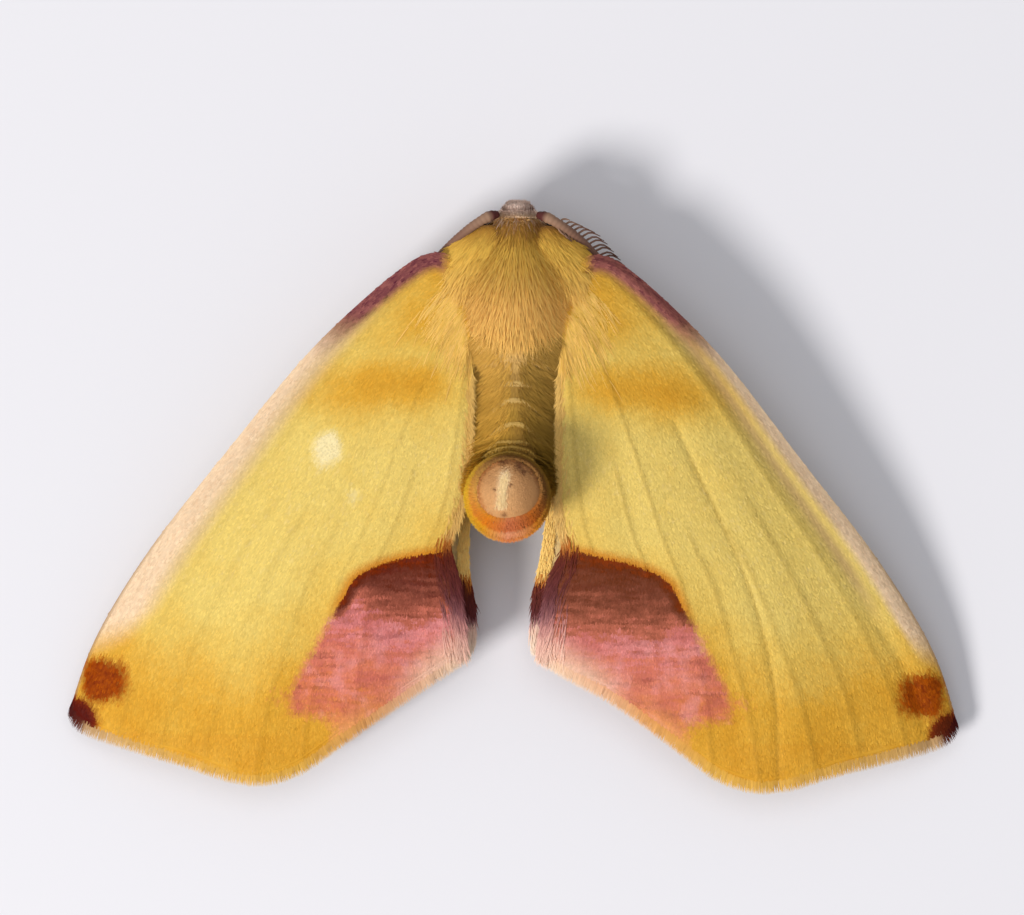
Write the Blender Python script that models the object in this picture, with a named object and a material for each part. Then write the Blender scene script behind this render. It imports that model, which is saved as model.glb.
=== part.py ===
"""A lemon plagodis moth at rest, life size, as a still museum model.

The head points along +Y, the back along +Z, and the feet stand on z = 0.
Lengths below are in millimetres; world() turns them into metres.
"""

import math

import bpy
import numpy as np

# Driving dimensions, in millimetres
MM = 0.001
GAP = 0.3
REAR_SHIFT = 0.16
WING_THICK = 0.5
VEIN_HEIGHT = 0.1
VEIN_HALF = 0.014
WING_STEP = 0.92
DORSUM_SKEW = 0.22

# Named heights of the forewing's middle surface at places (x, y) on the right side
WING_HEIGHTS = {
    "root": (1.3, 5.0, 2.72),
    "costa": (7.0, 1.4, 2.02),
    "apex": (11.3, -5.8, 0.66),
    "lobe": (6.4, -7.5, 1.28),
    "tornus": (1.0, -4.2, 1.66),
    "disc": (5.2, -1.6, 2.36),
}

THORAX_REAR, THORAX_FRONT = 3.35, 6.15
THORAX_WIDE = 1.32
THORAX_TALL = 1.35
THORAX_Z = 2.1
HEAD_MIDDLE = (0.0, 6.72, 2.05)
HEAD_SIZE = (0.92, 0.70, 0.95)
EYE_FLAT = 0.48
EYE_RADIUS = 0.39
EYE_BULGE = 0.32

ABDOMEN_Z = 2.0
ABDOMEN_RADIUS = 0.95
ABDOMEN_BEND = 1.5
ABDOMEN_TURN_Y = 1.45
ABDOMEN_TIP_RADIUS = 1.0
ABDOMEN_LEAN = 0.14

ANTENNA_RADIUS = 0.25
TOOTH_LENGTH = 0.62
TOOTH_WIDE = 0.32
TOOTH_STEP = 0.72
LEFT_TUCK = 0.16
COMB_DROOP = {1: 12, -1: 62}


def clear_scene():
    for obj in list(bpy.data.objects):
        bpy.data.objects.remove(obj)


def world(points):
    """Millimetres to metres, with the origin under the middle of the moth's box."""
    return (np.asarray(points, float) + (0.0, REAR_SHIFT, 0.0)) * MM


def finish(name, colour, roughness):
    """A plain finish of one colour."""
    material = bpy.data.materials.new(name)
    material.use_nodes = True
    shader = material.node_tree.nodes["Principled BSDF"]
    shader.inputs["Base Color"].default_value = (*colour, 1.0)
    shader.inputs["Roughness"].default_value = roughness
    shader.inputs["Metallic"].default_value = 0.0
    material.diffuse_color = (*colour, 1.0)
    return material


def facing_out(points, faces):
    """The faces, turned over if together they enclose a negative volume."""
    points = np.asarray(points, float)
    volume = 0.0
    for face in faces:
        for a, b in zip(face[1:], face[2:]):
            volume += points[face[0]].dot(np.cross(points[a], points[b]))
    return faces if volume > 0 else [face[::-1] for face in faces]


def add_body(name, points, faces, material):
    mesh = bpy.data.meshes.new(name)
    mesh.from_pydata([tuple(p) for p in world(points)], [], facing_out(points, faces))
    mesh.update()
    mesh.shade_smooth()
    mesh.set_sharp_from_angle(angle=math.radians(50))
    obj = bpy.data.objects.new(name, mesh)
    bpy.context.scene.collection.objects.link(obj)
    if material:
        mesh.materials.append(material)
    return obj


def make_cutter(obj):
    obj.hide_render = True
    obj.display_type = "WIRE"
    return obj


def cut(obj, cutter):
    modifier = obj.modifiers.new("clear_of_" + cutter.name, "BOOLEAN")
    modifier.operation = "DIFFERENCE"
    modifier.solver = "EXACT"
    modifier.object = cutter


def fuse(name, pieces, material):
    """Joins closed pieces into one body named name."""
    group = bpy.data.collections.new(name + "_pieces")
    bpy.context.scene.collection.children.link(group)
    base, others = pieces[0], pieces[1:]
    for piece in others:
        bpy.context.scene.collection.objects.unlink(piece)
        group.objects.link(piece)
    modifier = base.modifiers.new("join", "BOOLEAN")
    modifier.operation = "UNION"
    modifier.operand_type = "COLLECTION"
    modifier.solver = "EXACT"
    modifier.collection = group
    bpy.context.view_layer.update()
    graph = bpy.context.evaluated_depsgraph_get()
    mesh = bpy.data.meshes.new_from_object(base.evaluated_get(graph))
    base.modifiers.clear()
    base.data = largest_surface(mesh)
    base.data.materials.clear()
    base.data.materials.append(material)
    base.name = name
    for piece in others:
        bpy.data.objects.remove(piece)
    bpy.data.collections.remove(group)
    return base


def largest_surface(mesh):
    """The mesh with only its largest connected surface, by enclosed volume."""
    count = len(mesh.vertices)
    parent = list(range(count))

    def root(i):
        while parent[i] != i:
            parent[i] = parent[parent[i]]
            i = parent[i]
        return i

    for edge in mesh.edges:
        a, b = root(edge.vertices[0]), root(edge.vertices[1])
        parent[a] = b
    volumes = {}
    mesh.calc_loop_triangles()
    for triangle in mesh.loop_triangles:
        a, b, c = (mesh.vertices[i].co for i in triangle.vertices)
        key = root(triangle.vertices[0])
        volumes[key] = volumes.get(key, 0.0) + a.dot(b.cross(c))
    best = max(volumes, key=volumes.get)
    kept = [i for i in range(count) if root(i) == best]
    place = {old: new for new, old in enumerate(kept)}
    points = [mesh.vertices[i].co[:] for i in kept]
    faces = [[place[i] for i in p.vertices] for p in mesh.polygons if p.vertices[0] in place]
    result = bpy.data.meshes.new(mesh.name)
    result.from_pydata(points, [], faces)
    result.update()
    result.shade_smooth()
    result.set_sharp_from_angle(angle=math.radians(50))
    return result


def smooth_line(points, count):
    """count + 1 points spaced evenly along a smooth line through the given ones."""
    p = np.asarray(points, float)
    p = np.vstack([2 * p[0] - p[1], p, 2 * p[-1] - p[-2]])
    line = []
    for i in range(1, len(p) - 2):
        knots = [0.0]
        for k in range(3):
            knots.append(knots[-1] + np.linalg.norm(p[i + k] - p[i + k - 1]) ** 0.5)
        for t in np.linspace(knots[1], knots[2], 16, endpoint=False):
            a = [between(p[i - 1 + k], p[i + k], knots[k], knots[k + 1], t) for k in range(3)]
            b = [between(a[k], a[k + 1], knots[k], knots[k + 2], t) for k in range(2)]
            line.append(between(b[0], b[1], knots[1], knots[2], t))
    line = np.array(line + [p[-2]])
    return at_shares(line, np.linspace(0.0, 1.0, count + 1))


def between(a, b, start, end, t):
    return ((end - t) * a + (t - start) * b) / (end - start)


def at_shares(line, shares):
    """Points of the line at these shares of its length."""
    steps = np.linalg.norm(np.diff(line, axis=0), axis=1)
    along = np.concatenate([[0.0], np.cumsum(steps)]) / steps.sum()
    return np.stack([np.interp(shares, along, line[:, k]) for k in range(line.shape[1])], axis=1)


def rings_to_body(rings):
    """Points and faces of a closed body through rings of the same number of points."""
    sides = len(rings[0])
    points = np.vstack(rings)
    faces = [list(range(sides))[::-1]]
    for i in range(len(rings) - 1):
        for j in range(sides):
            k = (j + 1) % sides
            faces.append([i * sides + j, i * sides + k, (i + 1) * sides + k, (i + 1) * sides + j])
    last = (len(rings) - 1) * sides
    faces.append([last + j for j in range(sides)])
    return points, faces


def ring(middle, across, up, wide, tall, sides):
    angles = 2 * math.pi * np.arange(sides) / sides
    return np.array(middle) + np.outer(np.cos(angles) * wide, across) + np.outer(np.sin(angles) * tall, up)


def tube(line, radii, sides, floor=False):
    """A closed tube along the line. With floor, its lowest sides are flattened onto z = 0."""
    line = np.asarray(line, float)
    ways = np.gradient(line, axis=0)
    ways /= np.linalg.norm(ways, axis=1)[:, None]
    across = np.cross(ways[0], (0.0, 0.0, 1.0))
    rings = []
    for middle, way, radius in zip(line, ways, radii):
        across = across - way * across.dot(way)
        across /= np.linalg.norm(across)
        up = np.cross(across, way)
        turned = ring(middle, across, up, radius, radius, sides)
        if floor:
            turned[:, 2] = np.maximum(turned[:, 2], 0.0)
        rings.append(turned)
    return rings_to_body(rings)


def mirrored(points, side):
    """The points of the right-hand shape for side 1, and of its mirror image for side -1."""
    return np.asarray(points) * (side, 1.0, 1.0)


def ball(middle, sizes, sides, rows):
    """A closed ellipsoid with its poles along Y."""
    rings = []
    for i in range(1, rows):
        angle = math.pi * i / rows
        centre = (middle[0], middle[1] - sizes[1] * math.cos(angle), middle[2])
        share = math.sin(angle)
        rings.append(ring(centre, (1, 0, 0), (0, 0, 1), sizes[0] * share, sizes[2] * share, sides))
    return close_with_tips(rings, (middle[0], middle[1] - sizes[1], middle[2]),
                           (middle[0], middle[1] + sizes[1], middle[2]))


def close_with_tips(rings, first_tip, last_tip):
    """Rings that run along +Y, with (x, z) turning from x to z, closed by a point at each end."""
    sides = len(rings[0])
    points = np.vstack(rings + [np.array([first_tip]), np.array([last_tip])])
    first, last = len(points) - 2, len(points) - 1
    faces = []
    for j in range(sides):
        k = (j + 1) % sides
        faces.append([first, j, k])
        for i in range(len(rings) - 1):
            faces.append([i * sides + j, (i + 1) * sides + j, (i + 1) * sides + k, i * sides + k])
        base = (len(rings) - 1) * sides
        faces.append([last, base + k, base + j])
    return points, faces


# Thorax: the hairy middle of the body, which carries the wings and legs
def thorax_shape(grow=0.0, sides=20, rows=12):
    """An egg with flat ends, blunter in front, where the shoulders are."""
    middle_y = (THORAX_REAR + THORAX_FRONT) / 2
    half = (THORAX_FRONT - THORAX_REAR) / 2
    rings = []
    for i in range(rows + 1):
        share = -1 + 2 * i / rows
        blunt, flat = (3.6, 0.62) if share > 0 else (2.6, 0.52)
        round_off = (1 - abs(share) ** blunt) * (1 - flat) + flat
        centre = (0.0, middle_y + share * (half + grow), THORAX_Z - 0.08 * share)
        wide = THORAX_WIDE * round_off + grow
        tall = THORAX_TALL * round_off + grow
        rings.append(ring(centre, (1, 0, 0), (0, 0, 1), wide, tall, sides))
    return rings_to_body(rings)


def make_thorax(material):
    return add_body("thorax", *thorax_shape(), material)


# Head: a small rounded block with a flat on each side where an eye sits
def make_head(material, thorax_room):
    points, faces = ball(HEAD_MIDDLE, HEAD_SIZE, 20, 12)
    points[:, 0] = np.clip(points[:, 0], -EYE_FLAT, EYE_FLAT)
    head = add_body("head", points, faces, material)
    cut(head, thorax_room)
    return head


def make_eye(side, material):
    """A domed cap whose flat inner face looks at the flat of the head."""
    inner = EYE_FLAT + GAP
    rings = []
    for bulge, share in ((0.0, 1.0), (0.35, 0.95), (0.7, 0.72), (0.93, 0.38)):
        centre = (inner + bulge * EYE_BULGE, HEAD_MIDDLE[1] + 0.06, HEAD_MIDDLE[2] - 0.08)
        radius = EYE_RADIUS * share
        rings.append(ring(centre, (0, 1, 0), (0, 0, 1), radius, radius * 1.08, 16))
    points, faces = rings_to_body(rings)
    return add_body(side_name("eye", side), mirrored(points, side), faces, material)


def make_palp(side, material, head_room):
    """A short feeler under the front of the head, turned up at its tip."""
    line = smooth_line([(0.30, 6.70, 0.86), (0.30, 7.00, 0.88), (0.28, 7.22, 1.04), (0.27, 7.32, 1.26)], 6)
    radii = np.interp(np.linspace(0, 1, 7), [0, 0.7, 1], [0.24, 0.22, 0.10])
    points, faces = tube(line, radii, 8)
    palp = add_body(side_name("palp", side), mirrored(points, side), faces, material)
    cut(palp, head_room)
    return palp


def side_name(part, side):
    return part + ("_right" if side > 0 else "_left")


# Abdomen: three lengths that curl up until the tip looks at the sky
def abdomen_line(shares_y, turn_shares, rise):
    """Middle points of a straight run, the bend and the upright end."""
    line = [(0.0, y, ABDOMEN_Z) for y in shares_y]
    for share in turn_shares:
        angle = share * math.pi / 2
        y = ABDOMEN_TURN_Y - ABDOMEN_BEND * math.sin(angle)
        line.append((0.0, y, ABDOMEN_Z + ABDOMEN_BEND * (1 - math.cos(angle))))
    top_y = ABDOMEN_TURN_Y - ABDOMEN_BEND
    line += [(0.0, top_y, ABDOMEN_Z + ABDOMEN_BEND + z) for z in rise]
    return np.array(line)


def abdomen_body(line, radii, ways, sides=18):
    """Rings round the line, each square to its way. The side shift grows towards the tip."""
    rings = []
    for middle, radius, angle in zip(line, radii, ways):
        up = (0.0, math.sin(angle), math.cos(angle))
        lean = -ABDOMEN_LEAN * np.clip((ABDOMEN_TURN_Y + 1.6 - middle[1]) / 3.0, 0, 1)
        centre = np.array(middle) + (lean, 0.0, 0.0)
        rings.append(ring(centre, (1, 0, 0), up, radius, radius, sides))
    return rings_to_body(rings)


def stepped(start, end, count, step):
    """Radii of overlapping rings: each rises by step and drops back at its rear edge."""
    radii = []
    for i in range(count):
        base = start + (end - start) * i / count
        radii += [base, base + step]
    return radii


def make_abdomen(material):
    step = 0.05
    base_y = np.repeat(np.linspace(3.0, 1.75, 4), 2)[1:-1] + np.tile([0.03, -0.03], 3)
    base_y = np.concatenate([[THORAX_REAR - GAP], base_y, [1.75]])[:7]
    line = abdomen_line(base_y, [], [])
    radii = [0.80, ABDOMEN_RADIUS, 0.92, 0.97, 0.93, 0.99, 0.94][: len(line)]
    base = abdomen_body(line, radii, [0.0] * len(line))
    turn = np.array([0.10, 0.24, 0.28, 0.46, 0.50, 0.70, 0.74, 0.92])
    line = abdomen_line([1.45], turn, [0.05])
    ways = np.concatenate([[0.0], turn * math.pi / 2, [math.pi / 2]])
    radii = [0.94] + stepped(0.95, ABDOMEN_TIP_RADIUS, 4, step) + [ABDOMEN_TIP_RADIUS]
    middle = abdomen_body(line, radii, ways)
    rise = np.array([0.35, 0.60, 0.64, 0.90, 1.15, 1.33, 1.43])
    radii = [ABDOMEN_TIP_RADIUS * share for share in (1.0, 1.03, 0.96, 0.89, 0.70, 0.42, 0.18)]
    tip = abdomen_body(abdomen_line([], [], rise), radii, [math.pi / 2] * len(rise))
    for name, body in (("abdomen_base", base), ("abdomen_middle", middle), ("abdomen_tip", tip)):
        add_body(name, *body, material)


# Wings: thin curved plates with the main veins raised on their upper side
COSTA = [(1.25, 5.72), (1.85, 6.14), (2.35, 6.10), (2.95, 5.74), (5.05, 3.82), (7.36, 1.0),
         (9.52, -1.8), (10.82, -4.0), (11.40, -5.85)]
FORE_MARGIN = [(11.40, -5.85), (11.15, -6.33), (10.0, -6.83), (8.4, -7.28), (7.2, -7.66),
               (6.4, -7.73), (5.6, -7.48), (4.4, -6.62), (2.8, -5.50), (1.6, -4.78), (0.92, -4.35)]
DORSUM = [(1.3, 3.9), (1.3, 2.0), (1.33, 0.0), (1.44, -1.2), (1.20, -2.2), (1.05, -3.2), (0.92, -4.35)]
FORE_VEINS = {
    "subcosta": (0.045, 0.0, 0.62),
    "radius": (0.13, 0.0, 1.0),
    "media_1": (0.23, 0.5, 1.0),
    "media_2": (0.33, 0.5, 1.0),
    "media_3": (0.45, 0.5, 1.0),
    "cubitus_1": (0.56, 0.0, 1.0),
    "cubitus_2": (0.70, 0.38, 1.0),
    "anal": (0.90, 0.0, 1.0),
}
HIND_COSTA = [(1.3, 3.95), (2.6, 3.1), (4.6, 1.0), (6.5, -2.0), (7.35, -4.7)]
HIND_MARGIN = [(7.35, -4.7), (6.7, -5.9), (5.4, -6.45), (4.2, -6.0), (2.8, -5.15), (1.6, -4.5), (0.82, -4.15)]
HIND_DORSUM = [(1.35, 2.9), (1.33, 1.4), (1.30, 0.2), (1.02, -1.0), (0.90, -1.9),
               (0.76, -2.9), (0.74, -3.5), (0.82, -4.15)]
HIND_VEINS = {
    "radius": (0.12, 0.0, 1.0),
    "media_1": (0.30, 0.45, 1.0),
    "media_3": (0.48, 0.45, 1.0),
    "cubitus": (0.64, 0.0, 1.0),
    "anal": (0.86, 0.0, 1.0),
}


def wing_height(x, y):
    """Height of the forewing's middle surface: the quadric through the named heights."""
    spots = np.array(list(WING_HEIGHTS.values()))

    def terms(a, b):
        return np.stack([np.ones_like(a), a, b, a * a, a * b, b * b], axis=-1)

    factors = np.linalg.solve(terms(spots[:, 0], spots[:, 1]), spots[:, 2])
    return terms(np.asarray(x, float), np.asarray(y, float)) @ factors


def vein_columns(veins, step):
    """Shares across the wing: three for each vein, and fillers where they are far apart."""
    shares = [0.0, 1.0]
    for share, _, _ in veins.values():
        shares += [share - VEIN_HALF, share, share + VEIN_HALF]
    shares = sorted(shares)
    filled = list(shares)
    for a, b in zip(shares, shares[1:]):
        extra = int((b - a) / step)
        filled += [a + (b - a) * (k + 1) / (extra + 1) for k in range(extra)]
    return np.array(sorted(filled))


def wing_plan(costa, margin, dorsum, rows, columns):
    """A net of plan points between the wing's edges, root to margin by costa to dorsum."""
    front = at_shares(smooth_line(costa, 200), rows)
    rear = at_shares(smooth_line(dorsum, 200), rows)
    outer = at_shares(smooth_line(margin, 200), columns)
    root = np.outer(1 - columns, front[0]) + np.outer(columns, rear[0])
    u, v = rows[:, None, None], columns[None, :, None]
    corners = ((1 - u) * (1 - v) * front[0] + (1 - u) * v * rear[0]
               + u * (1 - v) * front[-1] + u * v * rear[-1])
    return (1 - v) * front[:, None] + v * rear[:, None] + (1 - u) * root[None] + u * outer[None] - corners


def vein_lift(veins, rows, columns, cell):
    """1 where a net point lies on a vein, 0 on the membrane."""
    lift = np.zeros((len(rows), len(columns)))
    for share, start, end in veins.values():
        column = int(np.argmin(abs(columns - share)))
        lift[(rows >= start - 1e-6) & (rows <= end + 1e-6), column] = 1.0
    row = int(np.argmin(abs(rows - cell)))
    ways = sorted(share for share, start, _ in veins.values() if start >= cell - 0.15)
    closing = (columns > ways[0] - 0.12) & (columns < ways[-1])
    lift[row, closing] = np.maximum(lift[row, closing], 0.8)
    return lift


def plate(plan, height, lift):
    """A closed plate of even thickness over the plan, split into triangles alike on both faces."""
    rows, columns = plan.shape[:2]
    top = np.dstack([plan, height + WING_THICK / 2 + VEIN_HEIGHT * lift])
    under = np.dstack([plan, height - WING_THICK / 2])
    points = np.vstack([top.reshape(-1, 3), under.reshape(-1, 3)])
    offset = rows * columns
    faces = []
    for i in range(rows - 1):
        for j in range(columns - 1):
            a, b = i * columns + j, i * columns + j + 1
            c, d = a + columns, b + columns
            halves = ([a, c, d], [a, d, b]) if (i + j) % 2 else ([a, c, b], [b, c, d])
            for half in halves:
                faces.append(half)
                faces.append([k + offset for k in half[::-1]])
    edge = [j for j in range(columns)]
    edge += [i * columns + columns - 1 for i in range(1, rows)]
    edge += [(rows - 1) * columns + j for j in range(columns - 2, -1, -1)]
    edge += [i * columns for i in range(rows - 2, 0, -1)]
    for a, b in zip(edge, edge[1:] + edge[:1]):
        faces.append([a, b, b + offset])
        faces.append([a, b + offset, a + offset])
    return points, faces


def skewed(line, side):
    """The rear inner edge, nearer the body on the right than on the left, as the moth holds it."""
    moved = []
    for x, y in line:
        share = np.clip((0.6 - y) / 2.2, 0, 1) * np.clip((2.8 - x) / 1.6, 0, 1)
        moved.append((x - side * DORSUM_SKEW * share, y))
    return moved


def make_wing(name, side, material, edges, veins, row_count, step, cell, drop, rooms):
    rows = np.linspace(0, 1, row_count + 1)
    columns = vein_columns(veins, step)
    costa, margin, dorsum = edges
    plan = wing_plan(costa, skewed(margin, side), skewed(dorsum, side), rows, columns)
    height = wing_height(plan[..., 0], plan[..., 1]) - drop
    points, faces = plate(plan, height, vein_lift(veins, rows, columns, cell))
    wing = add_body(side_name(name, side), mirrored(points, side), faces, material)
    for room in rooms:
        cut(wing, room)
    return wing


# Antennae: a swept-back shaft with a comb of teeth on both sides
ANTENNA_LINE = [(0.62, 6.96, 2.74), (1.06, 6.97, 2.68), (1.64, 6.64, 2.20), (2.25, 6.13, 1.74),
                (2.85, 5.5, 1.50), (3.5, 4.6, 1.38), (4.15, 3.6, 1.28)]


def antenna_line(side):
    """The shaft's middle line. The left one is held a little nearer the head."""
    line = []
    for x, y, z in ANTENNA_LINE:
        share = np.clip((x - 0.9) / 0.8, 0, 1) * np.clip((3.6 - x) / 1.0, 0, 1)
        tuck = LEFT_TUCK * share if side < 0 else 0.0
        line.append((x - tuck * 0.7, y - tuck * 0.7, z))
    return line


def antenna_tooth(base, way, out, length):
    """A tapered, slightly curved tooth that leans towards the tip of the antenna."""
    lean = (way * 0.74 + out * 0.67)
    lean /= np.linalg.norm(lean)
    line = smooth_line([base - lean * 0.05, base + lean * length * 0.5,
                        base + lean * length + way * 0.08], 3)
    return tube(line, [TOOTH_WIDE / 2, TOOTH_WIDE * 0.46, TOOTH_WIDE * 0.38, TOOTH_WIDE * 0.22], 6)


def make_antenna(side, material, head_room):
    line = smooth_line(antenna_line(side), 14)
    shares = np.linspace(0, 1, 15)
    radii = ANTENNA_RADIUS * np.interp(shares, [0, 0.05, 0.85, 1], [1.1, 1.0, 0.9, 0.5])
    pieces = [tube(line, radii, 8)]
    fine = smooth_line(antenna_line(side), 200)
    droop = math.radians(COMB_DROOP[side])
    length = np.linalg.norm(np.diff(fine, axis=0), axis=1).sum()
    for k in range(int((length - 1.9) / TOOTH_STEP) + 1):
        share = (1.55 + k * TOOTH_STEP) / length
        place = at_shares(fine, [share])[0]
        way = at_shares(fine, [min(share + 0.02, 1)])[0] - at_shares(fine, [share - 0.02])[0]
        way /= np.linalg.norm(way)
        out = np.cross((0.0, 0.0, 1.0), way)
        out /= np.linalg.norm(out)
        down = np.cross(out, way)
        for sign in (1, -1):
            comb = sign * out * math.cos(droop) + down * math.sin(droop)
            pieces.append(antenna_tooth(place, way, comb, TOOTH_LENGTH))
    objects = []
    for points, faces in pieces:
        objects.append(add_body("antenna_piece", mirrored(points, side), faces, None))
    antenna = fuse(side_name("antenna", side), objects, material)
    cut(antenna, head_room)
    return antenna


# Legs: six, all tucked under the wings, on feet with flat soles
LEG_LINES = {
    "fore_leg": [(0.70, 5.70, 1.25), (1.38, 6.00, 0.85), (1.42, 6.32, 0.40), (1.20, 6.62, 0.20), (0.88, 6.92, 0.20)],
    "mid_leg": [(0.80, 5.0, 1.2), (1.75, 5.05, 0.95), (2.30, 4.85, 0.62), (2.75, 4.40, 0.22), (3.15, 3.60, 0.20)],
    "hind_leg": [(0.80, 4.1, 1.2), (1.55, 3.0, 0.90), (1.85, 1.8, 0.65), (2.0, 0.4, 0.22), (2.35, -3.0, 0.20)],
}


def make_leg(name, side, material, room):
    line = smooth_line(LEG_LINES[name], 12)
    radii = np.interp(np.linspace(0, 1, 13), [0, 0.3, 0.55, 0.75, 1], [0.30, 0.27, 0.25, 0.24, 0.20])
    points, faces = tube(line, radii, 8, floor=True)
    leg = add_body(side_name(name, side), mirrored(points, side), faces, material)
    cut(leg, room)
    return leg


def main():
    clear_scene()
    fur = finish("body_fur", (0.72, 0.49, 0.10), 0.85)
    grey = finish("face_scales", (0.50, 0.38, 0.36), 0.8)
    fore = finish("forewing_scales", (0.80, 0.60, 0.17), 0.7)
    hind = finish("hindwing_scales", (0.85, 0.70, 0.35), 0.7)
    eye = finish("eye_dark", (0.03, 0.02, 0.02), 0.2)
    comb = finish("antenna_brown", (0.35, 0.20, 0.15), 0.6)
    shin = finish("leg_scales", (0.72, 0.55, 0.32), 0.7)
    thorax_room = make_cutter(add_body("thorax_room", *thorax_shape(grow=GAP), None))
    head_size = [size + GAP for size in HEAD_SIZE]
    head_room = make_cutter(add_body("head_room", *ball(HEAD_MIDDLE, head_size, 20, 12), None))
    make_thorax(fur)
    make_head(grey, thorax_room)
    make_abdomen(fur)
    for side in (1, -1):
        make_eye(side, eye)
        make_palp(side, grey, head_room)
        make_antenna(side, comb, head_room)
        make_wing("forewing", side, fore, (COSTA, FORE_MARGIN, DORSUM), FORE_VEINS,
                  18, 0.07, 0.5, 0.0, [thorax_room])
        make_wing("hindwing", side, hind, (HIND_COSTA, HIND_MARGIN, HIND_DORSUM), HIND_VEINS,
                  12, 0.12, 0.45, WING_STEP, [thorax_room])
        for name in LEG_LINES:
            make_leg(name, side, shin, thorax_room)


main()
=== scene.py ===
"""A lemon plagodis moth at rest, seen from straight above: scales, fur, fringes and combs over its solids.

Plan places and sizes are in millimetres, with +Y towards the head and +Z up. place() turns them into metres.
"""

import math

import bpy
import numpy as np
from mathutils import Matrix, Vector


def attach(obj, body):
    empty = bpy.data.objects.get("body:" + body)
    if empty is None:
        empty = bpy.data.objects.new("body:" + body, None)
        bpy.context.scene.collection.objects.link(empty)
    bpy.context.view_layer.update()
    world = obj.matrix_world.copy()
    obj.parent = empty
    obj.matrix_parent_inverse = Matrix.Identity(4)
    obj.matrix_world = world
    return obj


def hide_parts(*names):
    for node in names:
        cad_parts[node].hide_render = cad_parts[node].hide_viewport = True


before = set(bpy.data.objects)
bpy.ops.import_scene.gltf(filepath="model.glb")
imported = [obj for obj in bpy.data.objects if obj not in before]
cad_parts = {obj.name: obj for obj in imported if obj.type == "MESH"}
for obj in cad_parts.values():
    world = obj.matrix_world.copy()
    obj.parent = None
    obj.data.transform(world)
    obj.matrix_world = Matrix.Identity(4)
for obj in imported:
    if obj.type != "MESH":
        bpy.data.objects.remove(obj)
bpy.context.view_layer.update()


# Stage, camera and light
# A pale plain table top under the moth. The camera looks straight down on it, as a person
# photographs a moth on a cloth, and soft daylight comes from low on the left.
MM = 0.001
REAR_SHIFT = 0.16
PHOTO_PIXELS = (1024, 915)
PIXELS_PER_MM = 39.0
BODY_PIXEL = (513.5, 495.0)
BODY_TURN = math.radians(0.9)
LENS = 200.0
SENSOR = 36.0
FOCUS_HEIGHT = 1.8


def place(points):
    """Plan millimetres to metres in the shared frame."""
    return (np.asarray(points, float) + (0.0, REAR_SHIFT, 0.0)) * MM


def tone(red, green, blue):
    """A colour from its 0 to 255 screen values."""
    screen = (red, green, blue)
    return tuple(((c / 255 + 0.055) / 1.055) ** 2.4 if c > 10 else c / 3294.6 for c in screen) + (1.0,)


def plain_material(name, colour, roughness):
    material = bpy.data.materials.new(name)
    material.use_nodes = True
    shader = material.node_tree.nodes["Principled BSDF"]
    shader.inputs["Base Color"].default_value = colour
    shader.inputs["Roughness"].default_value = roughness
    return material


def seen_from(pixel):
    """Plan place under a pixel of the photographed view."""
    dx, dy = pixel[0] - BODY_PIXEL[0], pixel[1] - BODY_PIXEL[1]
    c, s = math.cos(BODY_TURN), math.sin(BODY_TURN)
    return (dx * c + dy * s) / PIXELS_PER_MM, -(-dx * s + dy * c) / PIXELS_PER_MM


middle = seen_from((PHOTO_PIXELS[0] / 2, PHOTO_PIXELS[1] / 2))
camera_data = bpy.data.cameras.new("view_from_above")
camera_data.lens = LENS
camera_data.sensor_width = SENSOR
camera_data.clip_start, camera_data.clip_end = 0.01, 2.0
camera = bpy.data.objects.new("view_from_above", camera_data)
bpy.context.scene.collection.objects.link(camera)
distance = PHOTO_PIXELS[0] / PIXELS_PER_MM / SENSOR * LENS
camera.location = place((middle[0], middle[1], FOCUS_HEIGHT + distance))
camera.rotation_euler = (0.0, 0.0, BODY_TURN)
bpy.context.scene.camera = camera
bpy.context.scene.view_settings.view_transform = "Standard"

TABLE_REACH = 0.6
table_mesh = bpy.data.meshes.new("pale_table")
corners = [(x * TABLE_REACH, y * TABLE_REACH, 0) for x, y in ((-1, -1), (1, -1), (1, 1), (-1, 1))]
table_mesh.from_pydata(corners, [], [(0, 1, 2, 3)])
table = bpy.data.objects.new("pale_table", table_mesh)
bpy.context.scene.collection.objects.link(table)
table_mesh.materials.append(plain_material("pale_table", tone(226, 224, 228), 0.9))

# Each light: where it hangs in metres, how broad it is, its watts and its colour.
LIGHTS = {
    "low_left_window": ((-0.20, -0.15, 0.24), 0.10, 1.00, (1.0, 0.985, 0.96)),
    "high_fill": ((-0.02, 0.06, 0.32), 0.30, 0.30, (0.97, 0.98, 1.0)),
}
for label, (spot, width, watts, colour) in LIGHTS.items():
    lamp = bpy.data.lights.new(label, "AREA")
    lamp.shape = "DISK"
    lamp.size = width
    lamp.energy = watts
    lamp.color = colour
    holder = bpy.data.objects.new(label, lamp)
    holder.location = spot
    holder.rotation_euler = (-Vector(spot)).to_track_quat("-Z", "Y").to_euler()
    bpy.context.scene.collection.objects.link(holder)
sky = bpy.data.worlds.new("soft_room")
sky.use_nodes = True
sky.node_tree.nodes["Background"].inputs["Color"].default_value = (0.92, 0.95, 1.0, 1.0)
sky.node_tree.nodes["Background"].inputs["Strength"].default_value = 0.36
bpy.context.scene.world = sky


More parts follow.
